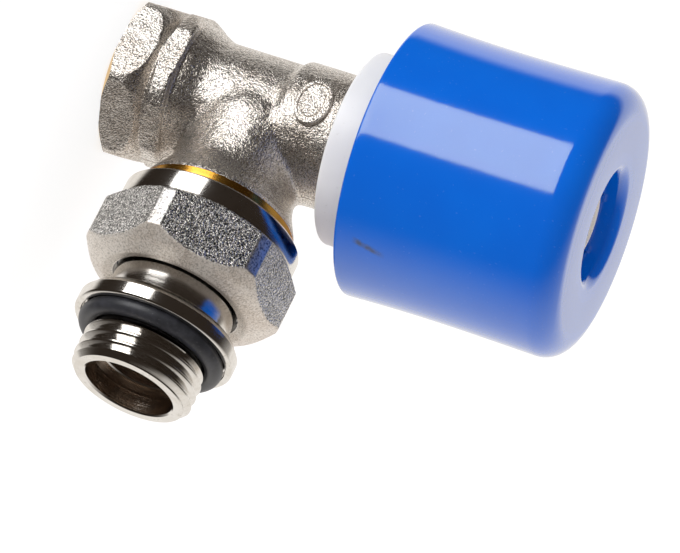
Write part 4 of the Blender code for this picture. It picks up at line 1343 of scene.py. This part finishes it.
    def build(self) -> bpy.types.Object:
        """Forges the skin, machines it and gives each zone its finish.

        Returns:
            The finished body.
        """
        body = self.upright()
        for make in (self.inlet_boss, self.inlet_band, self.side_branch):
            Bench.combine(body, make(), Fit.JOIN)
        Bench.forge(body, self.skin_cell)
        Bench.soften(body, self.fillet_weight, self.fillet_rounds)
        Bench.soften(body, lambda place: self.skin_softness, 2)
        chamfer_foot = self.hexagon_corner - self.end_chamfer * self.chamfer_run
        slope = OVERRUN * self.chamfer_run
        facing = [(0, 0), (chamfer_foot, 0), (self.hexagon_corner + slope, self.end_chamfer + OVERRUN),
                  (self.clear_radius, self.end_chamfer + OVERRUN), (self.clear_radius, self.clear_height),
                  (0, self.clear_height)]
        keep = Bench.lathe("facing", Axis.SPINDLE, facing)
        Bench.combine(body, keep, Fit.KEEP_COMMON)
        square = [(0, self.skin_end), (self.shoulder + 3, self.skin_end),
                  (self.shoulder + 3, self.thread_end), (0, self.thread_end)]
        Bench.combine(body, Bench.lathe("branch_facing", Axis.OUTLET, square), Fit.TAKE_AWAY)
        Bench.combine(body, self.parting_groove(), Fit.TAKE_AWAY)
        Bench.combine(body, self.oval_pad(), Fit.JOIN)
        Bench.combine(body, self.union_end(), Fit.JOIN)
        Bench.combine(body, self.waterways(), Fit.TAKE_AWAY)
        zones = [
            (self.palette.outlet_brass, lambda centre, normal: self.is_land(centre)),
            (self.palette.inlet_brass, self.is_inlet_cut),
            (self.palette.bore, lambda centre, normal: self.is_bore(centre)),
        ]
        return Bench.dress(body, self.palette.forging, zones, 32)

    def is_land(self, centre: Vector) -> bool:
        """Tells whether a face belongs to the bare brass end of the branch.

        Args:
            centre: The face's centre, in metres.

        Returns:
            True for the land and the union's thread.
        """
        past = centre.x > (self.skin_end - 0.02) * MM
        return past or (centre.x > (self.skin_end - 0.3) * MM
                        and Axis.OUTLET.radius(centre) < self.shoulder - 0.08)

    def is_inlet_cut(self, centre: Vector, normal: Vector) -> bool:
        """Tells whether a face belongs to the machined inlet end or its thread.

        Args:
            centre: The face's centre, in metres.
            normal: The face's outward direction.

        Returns:
            True for the end face, its chamfer and the tapped hole.
        """
        if centre.z < 0.02 * MM:
            return True
        chamfer = centre.z < (self.end_chamfer + 0.6) * MM and normal.z < -0.45
        return chamfer or (Axis.SPINDLE.radius(centre) < self.inlet_tap.crest + HAIR
                           and centre.z < (self.inlet_depth + 1) * MM)

    def is_bore(self, centre: Vector) -> bool:
        """Tells whether a face belongs to the waterways past the inlet's thread.

        Args:
            centre: The face's centre, in metres.

        Returns:
            True for the bores.
        """
        deep = (self.inlet_depth + 1) * MM
        upright = Axis.SPINDLE.radius(centre) < self.bonnet_bore + HAIR and centre.z > deep
        return upright or (Axis.OUTLET.radius(centre) < self.outlet_bore + HAIR and centre.x > 0)

    def place(self) -> None:
        """Builds the body and puts it on the valve."""
        Bench.seat(self.build(), "valve", "nickel_cast", "valve_body")


@dataclass
class GuideCollar:
    """The white collar: a cup round the neck with a narrower tube up inside the handwheel."""

    palette: Palette
    radius: float = 15.9
    foot: float = 38.9
    top: float = 62.0
    foot_round: float = 0.6
    tube: float = 11.4
    tube_foot: float = 48.5
    shoulder_rise: float = 2.6
    cavity: float = 11.3
    cavity_top: float = 49.4
    inner: float = 8.2
    roof_foot: float = 58.0
    bush: float = 7.9
    bush_flange: float = 9.5
    bush_floor: float = 60.4
    broken_edge: float = 0.12

    def build(self) -> bpy.types.Object:
        """Turns the collar and rounds its edges.

        Returns:
            The finished collar.
        """
        outline = [(self.cavity, self.foot)]
        outline += arc(self.radius - self.foot_round, self.foot + self.foot_round, self.foot_round, -90, 0, 8)
        outline += [(self.radius, self.tube_foot), (self.tube, self.tube_foot + self.shoulder_rise),
                    (self.tube, self.top), (self.bush_flange, self.top), (self.bush_flange, self.bush_floor),
                    (self.bush, self.bush_floor), (self.bush, self.roof_foot),
                    (self.inner, self.roof_foot - 0.3),
                    (self.inner, self.cavity_top + 0.6), (self.cavity, self.cavity_top)]
        collar = Bench.lathe("collar_shell", Axis.SPINDLE, outline, 160)
        Bench.break_edges(collar, self.broken_edge, 2, 35)
        return Bench.dress(collar, self.palette.white, sharp=40)

    def place(self) -> None:
        """Builds the collar and puts it on the valve."""
        Bench.seat(self.build(), "valve", "white_plastic", "guide_collar")


@dataclass
class Handwheel:
    """The blue handwheel with its ribs and recess, and the metal insert whose head shows in it."""

    palette: Palette
    foot: float = 45.1
    top: float = 81.5
    rim: float = 22.5
    waist: float = 22.1
    shoulder: float = 22.3
    rim_round: float = 0.5
    end_round: float = 4.2
    wall: float = 1.9
    roof: float = 2.4
    recess: float = 8.7
    recess_lip: float = 1.7
    recess_depth: float = 5.0
    recess_floor: float = 7.6
    hub: float = 9.6
    hub_foot: float = 66.6
    rib_foot: float = 67.6
    rib_width: float = 1.4
    ribs: int = 6
    insert_head: float = 5.8
    insert_body: float = 6.6
    insert_screw: float = 4.8
    insert_foot: float = 56.0
    head_seat: float = 2.4
    head_proud: float = 2.0
    dish: float = 5.1
    dish_depth: float = 0.7
    key_flats: float = 5.0
    key_depth: float = 2.4
    clearance: float = 0.3
    floor_round: float = 0.9
    rib_round: float = 0.4
    head_edge: float = 0.25
    dish_edge: float = 0.15

    def radius_at(self, height: float) -> float:
        """Gives the handwheel's outer radius at a height, waisted between rim and shoulder.

        Args:
            height: The height, in millimetres.

        Returns:
            The radius, in millimetres.
        """
        foot = self.foot + self.rim_round
        share = (height - foot) / (self.top - self.end_round - foot)
        straight = self.rim + (self.shoulder - self.rim) * share
        return straight - (straight - self.waist) * math.sin(math.pi * share)

    def side(self, low: float, high: float, wall: float, steps: int) -> list[tuple[float, float]]:
        """Lists the side's outline between two heights, a wall's thickness inside it.

        Args:
            low: The first height.
            high: The last height.
            wall: How far inside the surface it runs.
            steps: Number of chords.

        Returns:
            The (radius, height) points, both ends included.
        """
        heights = [low + (high - low) * step / steps for step in range(steps + 1)]
        return [(self.radius_at(height) - wall, height) for height in heights]

    def build_shell(self) -> bpy.types.Object:
        """Turns the shell, joins the ribs and rounds the rim, end and recess.

        Returns:
            The finished handwheel.
        """
        under_roof = self.top - self.roof - self.wall
        inner_top = under_roof - self.wall
        side_foot, side_top = self.foot + self.rim_round, self.top - self.end_round
        floor = self.top - self.recess_depth
        bore, head_bore = self.insert_body + self.clearance, self.insert_head + self.clearance
        lip = self.recess + self.recess_lip
        outline = [(bore, self.hub_foot), (self.hub, self.hub_foot), (self.hub, inner_top)]
        outline += arc(self.hub + self.wall, inner_top, self.wall, 180, 90, 6)
        outline += arc(self.radius_at(inner_top) - 2 * self.wall, inner_top, self.wall, 90, 0, 6)
        outline += self.side(side_foot, inner_top, self.wall, 12)[-2::-1]
        outline += arc(self.rim - self.rim_round, side_foot, self.rim_round, -90, 0, 6)
        outline += self.side(side_foot, side_top, 0, 36)[1:-1]
        outline += arc(self.shoulder - self.end_round, side_top, self.end_round, 0, 90, 20)
        outline += arc(lip, self.top - self.recess_lip, self.recess_lip, 90, 172, 14)
        outline += arc(self.recess_floor - HAIR, floor + self.floor_round, self.floor_round, -8, -90, 6)
        outline += [(head_bore, floor), (head_bore, floor - self.head_seat), (bore, floor - self.head_seat)]
        shell = Bench.lathe("handwheel_shell", Axis.SPINDLE, outline, 192)
        far = min(self.radius_at(self.rib_foot), self.radius_at(side_top)) - self.wall / 2
        rib_top = self.top - self.roof - self.wall / 2
        for number in range(self.ribs):
            Bench.combine(shell, self.rib(number, far, rib_top), Fit.JOIN)
        return Bench.dress(shell, self.palette.blue, sharp=35)

    def rib(self, number: int, far: float, rib_top: float) -> bpy.types.Object:
        """Cuts one rib, which runs from the hub to the wall.

        Args:
            number: The rib's place in the ring.
            far: Radius of its outer end, inside the wall.
            rib_top: Height of its top, inside the roof.

        Returns:
            The rib, with its lower edge rounded.
        """
        Bench.put_down()
        bpy.ops.mesh.primitive_cube_add(size=MM)
        rib = Bench.named(f"rib_{number}")
        near = self.hub - self.wall
        Bench.open_up(rib)
        bpy.ops.transform.resize(value=(far - near, self.rib_width, rib_top - self.rib_foot),
                                 center_override=(0, 0, 0))
        bpy.ops.transform.translate(value=((near + far) / 2 * MM, 0, (self.rib_foot + rib_top) / 2 * MM))
        Bench.pick(rib, lambda centre, normal: normal.z < -0.9)
        bpy.ops.mesh.bevel(offset=self.rib_round * MM, segments=3, affect="EDGES")
        bpy.ops.object.mode_set(mode="OBJECT")
        rib.matrix_world = Matrix.Rotation(math.tau * (number + 0.5) / self.ribs, 4, "Z")
        bpy.ops.object.transform_apply(location=True, rotation=True, scale=True)
        return rib

    def build_insert(self) -> bpy.types.Object:
        """Turns the screw insert, with a dish and a hexagon key hole in its head.

        Returns:
            The finished insert.
        """
        floor = self.top - self.recess_depth
        head_top = floor + self.head_proud
        shoulder = floor - self.head_seat - self.clearance
        dish = head_top - self.dish_depth
        outline = [(0, self.insert_foot), (self.insert_screw - 0.3, self.insert_foot),
                   (self.insert_screw, self.insert_foot + 0.3), (self.insert_screw, self.hub_foot),
                   (self.insert_body, self.hub_foot + 0.3), (self.insert_body, shoulder),
                   (self.insert_head, shoulder), (self.insert_head, head_top - self.head_edge),
                   (self.insert_head - self.head_edge, head_top), (self.dish, head_top),
                   (self.dish - self.dish_edge, dish), (0, dish)]
        insert = Bench.lathe("insert_shell", Axis.SPINDLE, outline, 96)
        key = Bench.bar("key_hole", Axis.SPINDLE, 6, self.key_flats, dish - self.key_depth, head_top + 1)
        Bench.combine(insert, key, Fit.TAKE_AWAY)
        # The insert's finish paints its head's bright reflection into a near-white, barely metallic colour.
        return Bench.dress(insert, self.palette.insert, sharp=30)

    def place(self) -> None:
        """Builds the handwheel and its insert and puts them on the wheel."""
        Bench.seat(self.build_shell(), "wheel", "blue_plastic", "handwheel")
        Bench.seat(self.build_insert(), "wheel", "nickel_turned", "handwheel_insert")


@dataclass
class UnionNut:
    """The hexagon nut: mirror-turned collar, blasted flats, turned corners and a satin face."""

    palette: Palette
    across_flats: float = 30.0
    corner: float = 16.7
    back: float = 20.5
    length: float = 14.6
    collar: float = 14.95
    collar_length: float = 3.6
    back_chamfer: float = 0.4
    shoulder_rise: float = 0.58
    hole: float = 10.7
    front_wall: float = 2.0
    face: float = 12.3
    face_drop: float = 1.5
    hole_sink: float = 0.45
    turn: float = 9.0
    inner_thread: ThreadForm = field(default_factory=lambda: ThreadForm(13.95, 13.3))
    thread_lead: float = 1.2
    thread_runout: float = 2.2
    skin_cell: float = 0.22
    quick_cell: float = 0.36
    skin_softness: float = 0.7
    face_reach: float = 4.5
    corner_band: float = 0.06

    @property
    def front(self) -> float:
        """Station of the nut's front."""
        return self.back + self.length

    def build(self) -> bpy.types.Object:
        """Forges the hexagon, turns its ends and cuts its thread.

        Returns:
            The finished nut.
        """
        half = self.across_flats / 2
        spread = self.corner - self.collar
        collar_end = self.back + self.collar_length
        under_collar, sunk = self.collar - 0.2, self.front - self.hole_sink
        outline = [(0, collar_end - 0.6), (under_collar, collar_end - 0.6), (under_collar, collar_end),
                   (self.corner, collar_end + spread * self.shoulder_rise),
                   (self.corner, self.front - self.face_drop - spread), (half, self.front - self.face_drop),
                   (self.face, self.front), (self.hole, sunk), (0, sunk)]
        envelope = Bench.lathe("nut_envelope", Axis.OUTLET, outline, 160)
        blank = Bench.bar("nut_shell", Axis.OUTLET, 6, self.across_flats, collar_end - 1, self.front + 1,
                          self.turn)
        nut = Bench.combine(blank, envelope, Fit.KEEP_COMMON)
        Bench.forge(nut, self.skin_cell)
        Bench.soften(nut, lambda place: self.skin_softness, 2)
        rings = [(0, self.back), (self.collar - self.back_chamfer, self.back),
                 (self.collar, self.back + self.back_chamfer), (self.collar, collar_end - 0.25),
                 (self.collar - HAIR, collar_end - 0.05), (0, collar_end + 1.0)]
        Bench.combine(nut, Bench.lathe("nut_collar", Axis.OUTLET, rings, 192), Fit.JOIN)
        wall = self.front - self.front_wall
        root = self.inner_thread.root
        hollow = [(0, self.back - 1), (root + self.thread_lead, self.back - 1), (root, self.back + 0.4),
                  (root, wall), (self.hole, wall), (self.hole, self.front + 1), (0, self.front + 1)]
        bore = Bench.lathe("nut_bore", Axis.OUTLET, hollow, 128)
        tap = self.inner_thread.bar("nut_tap", Axis.OUTLET, self.back - 0.8, wall - self.thread_runout)
        Bench.combine(bore, tap, Fit.JOIN)
        Bench.combine(nut, bore, Fit.TAKE_AWAY)
        zones = [
            (self.palette.nut_corners, self.is_corner),
            (self.palette.nut_face,
             lambda centre, normal: normal.x > 0.2 and centre.x > (self.front - self.face_reach) * MM),
            (self.palette.outlet_nickel, lambda centre, normal: self.is_turned(centre)),
        ]
        return Bench.dress(nut, self.palette.nut_flats, zones, 32)

    def is_corner(self, centre: Vector, normal: Vector) -> bool:
        """Tells whether a face belongs to a turned corner between two flats."""
        return Axis.OUTLET.radius(centre) > self.corner - self.corner_band and abs(normal.x) < 0.3

    def is_turned(self, centre: Vector) -> bool:
        """Tells whether a face belongs to the collar or to the inside.

        Args:
            centre: The face's centre, in metres.

        Returns:
            True for the turned faces.
        """
        station, radius = Axis.OUTLET.station(centre), Axis.OUTLET.radius(centre)
        inside = radius < self.inner_thread.crest + HAIR and station < self.front - self.front_wall + HAIR
        hole = radius < self.hole + 0.05
        return station < self.back + self.collar_length - 0.02 or inside or hole

    def place(self) -> None:
        """Builds the nut and puts it on its body."""
        Bench.seat(self.build(), "nut", "nickel_cast", "union_nut")


@dataclass
class Tailpiece:
    """The turned tailpiece: shank, tapered flange, relief and male thread, with its rubber ring."""

    palette: Palette
    inner: float = 30.2
    shank: float = 10.2
    ring_groove: float = 9.5
    ring_seat: float = 31.5
    ring_thickness: float = 1.3
    flange: float = 13.4
    flange_back: float = 12.4
    flange_at: float = 39.65
    flange_length: float = 3.45
    flange_taper: float = 1.3
    recess: float = 12.2
    recess_depth: float = 0.9
    relief_length: float = 3.2
    reach: float = 52.1
    end_chamfer: float = 1.0
    mouth: float = 7.4
    mouth_depth: float = 4.3
    bore: float = 6.35
    thread: ThreadForm = field(default_factory=lambda: ThreadForm(10.1, 9.15, steps=144))
    rubber_section: float = 1.45
    rubber_lift: float = 0.15
    shank_edge: float = 0.3
    shank_fillet: float = 0.35
    flange_round: float = 0.45
    flange_lead: float = 0.05
    flange_lead_rise: float = 0.12
    recess_edge: float = 0.15
    mouth_edge: float = 0.25
    ledge_edge: float = 0.2

    def build(self) -> bpy.types.Object:
        """Turns the tailpiece and cuts its thread.

        Returns:
            The finished tailpiece.
        """
        front = self.flange_at + self.flange_length
        floor = front - self.recess_depth
        relief_end = floor + self.relief_length
        ledge = self.reach - self.mouth_depth
        groove_foot = self.ring_seat - self.shank_edge
        groove_end = self.ring_seat + self.ring_thickness + self.shank_edge
        root, fillet, soft = self.thread.root, self.shank_fillet, self.flange_round
        outline = [(self.bore, self.inner), (self.shank - self.shank_edge, self.inner),
                   (self.shank, self.inner + self.shank_edge), (self.shank, groove_foot),
                   (self.ring_groove, groove_foot), (self.ring_groove, groove_end), (self.shank, groove_end),
                   (self.shank, self.flange_at - fillet)]
        outline += arc(self.shank + fillet, self.flange_at - fillet, fillet, 180, 90, 4)
        outline += [(self.flange_back - 0.15, self.flange_at),
                    (self.flange_back + self.flange_lead, self.flange_at + self.flange_lead_rise),
                    (self.flange, self.flange_at + self.flange_taper)]
        outline += arc(self.flange - soft, front - soft, soft, 0, 90, 6)
        outline += [(self.recess + 0.12, front), (self.recess, front - self.recess_edge),
                    (self.recess, floor), (root, floor), (root, relief_end + 1.5),
                    (self.bore, relief_end + 1.5)]
        tail = Bench.lathe("tail_shell", Axis.OUTLET, outline, 192)
        bar = self.thread.bar("tail_thread", Axis.OUTLET, relief_end - 0.4, self.reach + 0.3)
        crest, end = self.thread.crest + 0.03, self.reach
        shape = [(self.bore, relief_end - 0.3), (root - 0.02, relief_end - 0.3), (crest, relief_end + 0.7),
                 (crest, end - self.end_chamfer), (crest - self.end_chamfer, end),
                 (self.mouth + self.mouth_edge, end), (self.mouth, end - self.mouth_edge),
                 (self.mouth, ledge), (self.bore + self.ledge_edge, ledge),
                 (self.bore, ledge - self.ledge_edge)]
        keep = Bench.lathe("tail_envelope", Axis.OUTLET, shape, 144)
        Bench.combine(bar, keep, Fit.KEEP_COMMON)
        Bench.combine(tail, bar, Fit.JOIN)
        zones = [(self.palette.bore,
                  lambda centre, normal: Axis.OUTLET.radius(centre) < self.mouth + HAIR and normal.x < 0.5)]
        return Bench.dress(tail, self.palette.outlet_nickel, zones, 34)

    def build_rubber(self) -> bpy.types.Object:
        """Turns the rubber ring that sits between flange and thread, round in section.

        Returns:
            The finished ring.
        """
        centre = self.thread.root + HAIR + self.rubber_section
        station = self.flange_at + self.flange_length - self.recess_depth
        station += self.rubber_lift + self.rubber_section
        outline = arc(centre, station, self.rubber_section, 0, 350, 35)
        ring = Bench.lathe("tail_rubber_ring", Axis.OUTLET, outline, 160)
        return Bench.dress(ring, self.palette.rubber, sharp=60)

    def place(self) -> None:
        """Builds both pieces and puts them on the tail."""
        Bench.seat(self.build(), "tail", "nickel_turned", "tailpiece")
        Bench.seat(self.build_rubber(), "tail", "black_rubber", "tail_o_ring")


@dataclass
class InnerWorks:
    """The pieces inside, whose CAD shapes stay and get better finishes."""

    palette: Palette
    nodes: dict[str, bpy.types.Object]

    def dress(self) -> None:
        """Gives each inner CAD node its finish."""
        brass = TurnedMetal("spindle_brass", Axis.SPINDLE, (0.84, 0.60, 0.27), (0.72, 0.47, 0.18),
                            0.2).material()
        finishes = {
            brass: ("bonnet", "gland_nut", "collar_bush", "disc_carrier", "disc_nut"),
            self.palette.rubber: ("bonnet_o_ring", "pin_o_ring", "sealing_disc"),
            self.palette.steel: ("spring_plate", "return_spring", "valve_pin", "spring_cup", "pin_clip",
                                 "disc_washer", "insert_clip", "retaining_ring"),
            self.palette.fibre: ("union_seal",),
        }
        for material, names in finishes.items():
            for name in names:
                for slot in self.nodes[name].material_slots:
                    slot.material = material
                log.info("%s keeps its CAD shape in %s", name, material.name)


@dataclass(frozen=True)
class Viewpoint:
    """The photograph's camera: a long lens from above the outlet's side."""

    eye: tuple[float, float, float] = (0.28959349, -0.53333013, 0.21990606)
    right: tuple[float, float, float] = (-0.39696682, 0.098487, 0.91253365)
    up: tuple[float, float, float] = (-0.8108327, -0.50350535, -0.29838345)
    back: tuple[float, float, float] = (0.43007868, -0.85836045, 0.2797314)
    lens: float = 211.764
    film_width: float = 36.0
    nearest: float = 0.01
    farthest: float = 50.0

    def place(self) -> None:
        """Adds the camera and makes it the scene's."""
        data = bpy.data.cameras.new("camera")
        data.lens = self.lens
        data.sensor_width = self.film_width
        data.clip_start = self.nearest
        data.clip_end = self.farthest
        camera = bpy.data.objects.new("camera", data)
        bpy.context.scene.collection.objects.link(camera)
        turn = Matrix((self.right, self.up, self.back)).transposed().to_4x4()
        camera.matrix_world = Matrix.Translation(self.eye) @ turn
        bpy.context.scene.camera = camera

    def from_view(self, x: float, y: float, z: float) -> Vector:
        """Turns a direction given as right, up and towards the camera into the part's frame."""
        return Vector(self.right) * x + Vector(self.up) * y + Vector(self.back) * z


@dataclass(frozen=True)
class Studio:
    """A white table, a large soft box, pale card around and behind the valve, and a dark room in front."""

    view: Viewpoint
    target: tuple[float, float, float] = (0.010, 0.0, 0.039)
    box_way: tuple[float, float, float] = (-0.457, 0.673, 0.581)
    box_edge: tuple[float, float, float] = (0.770, -0.024, 0.638)
    box_width: float = 0.64
    box_height: float = 0.79
    box_distance: float = 1.4
    box_radiance: float = 4.0
    table_way: tuple[float, float, float] = (0.0, -0.756, -0.655)
    room_end: float = 0.12
    table_start: float = 0.93
    wall_edge: float = 0.42
    wall_start: float = 0.62
    room: Colour = (0.030, 0.023, 0.018)
    table_white: Colour = (0.98, 0.95, 0.91)
    fill_above: float = 0.66
    fill_below: Colour = (1.16, 1.04, 1.02)
    floor_size: float = 8.0
    floor_glow: float = 0.80
    floor_colour: float = 0.36

    def soft_box(self) -> None:
        """Hangs the soft box where its reflections on the handwheel and the nut's collar put it."""
        data = bpy.data.lights.new("soft_box", "AREA")
        data.shape = "RECTANGLE"
        data.size = self.box_width * self.box_distance
        data.size_y = self.box_height * self.box_distance
        data.energy = self.box_radiance * math.pi * data.size * data.size_y
        lamp = bpy.data.objects.new("soft_box", data)
        bpy.context.scene.collection.objects.link(lamp)
        back = self.view.from_view(*self.box_way).normalized()
        edge = self.view.from_view(*self.box_edge)
        edge = (edge - back * edge.dot(back)).normalized()
        turn = Matrix((edge, back.cross(edge), back)).transposed().to_4x4()
        place = Vector(self.target) + back * self.box_distance
        lamp.matrix_world = Matrix.Translation(place) @ turn
        lamp.visible_camera = False

    def surroundings(self) -> None:
        """Writes the world: white to the camera, even to diffuse light, card and dark room to gloss."""
        world = bpy.data.worlds.new("studio")
        bpy.context.scene.world = world
        graph = Graph(world)
        way = graph.node("ShaderNodeTexCoord", output="Generated")

        table = self.view.from_view(*self.table_way).normalized()
        reach = graph.node("ShaderNodeVectorMath", {"operation": "DOT_PRODUCT"}, {0: way, 1: table}, "Value")
        back = self.view.from_view(0, 0, -1)
        behind = graph.node("ShaderNodeVectorMath", {"operation": "DOT_PRODUCT"}, {0: way, 1: back}, "Value")
        wall = behind.rise(self.wall_edge, self.wall_start)
        seen = graph.mix(reach.rise(self.room_end, self.table_start).most(wall), self.room, self.table_white)
        path = graph.node("ShaderNodeLightPath", output="Is Diffuse Ray")
        to_camera = Wire(graph, path.socket.node.outputs["Is Camera Ray"])
        above = (self.fill_above, self.fill_above, self.fill_above)
        seen = graph.mix(path, seen, graph.mix(reach.rise(-0.5, 0.7), above, self.fill_below))
        seen = graph.mix(to_camera, seen, (1.0, 1.0, 1.0))
        light = graph.node("ShaderNodeBackground", inputs={"Color": seen, "Strength": 1.0})
        graph.node_end("ShaderNodeOutputWorld", light)

    def table(self) -> None:
        """Lays the white table under the valve: seen by the camera only, with the valve's soft shadow."""
        Bench.put_down()
        bpy.ops.mesh.primitive_plane_add(size=self.floor_size, location=(0, 0, 0))
        floor = Bench.named("table")
        material, graph = new_material("table_white")
        white = self.floor_colour
        matt = graph.node("ShaderNodeBsdfDiffuse", inputs={"Color": (white, white, white, 1.0)})
        glow = graph.node("ShaderNodeEmission",
                          inputs={"Color": (1.0, 1.0, 1.0, 1.0), "Strength": self.floor_glow})
        both = graph.node("ShaderNodeAddShader", inputs={0: matt, 1: glow})
        graph.node_end("ShaderNodeOutputMaterial", both)
        floor.data.materials.append(material)
        floor.visible_diffuse = False
        floor.visible_glossy = False
        floor.visible_transmission = False
        floor.visible_shadow = False

    def place(self) -> None:
        """Sets up the whole studio."""
        self.soft_box()
        self.surroundings()
        self.table()
        bpy.context.scene.view_settings.view_transform = "Standard"


def main() -> None:
    """Loads the frame, builds the valve's pieces in order and sets up the studio."""
    logging.basicConfig(level=logging.INFO, format="%(message)s")
    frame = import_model()
    view = Viewpoint()
    view.place()
    Studio(view).place()
    palette = Palette()
    InnerWorks(palette, frame["nodes"]).dress()
    for assembly in (ForgedBody(palette), GuideCollar(palette), Handwheel(palette), UnionNut(palette),
                     Tailpiece(palette)):
        assembly.place()


if __name__ == "__main__":
    main()
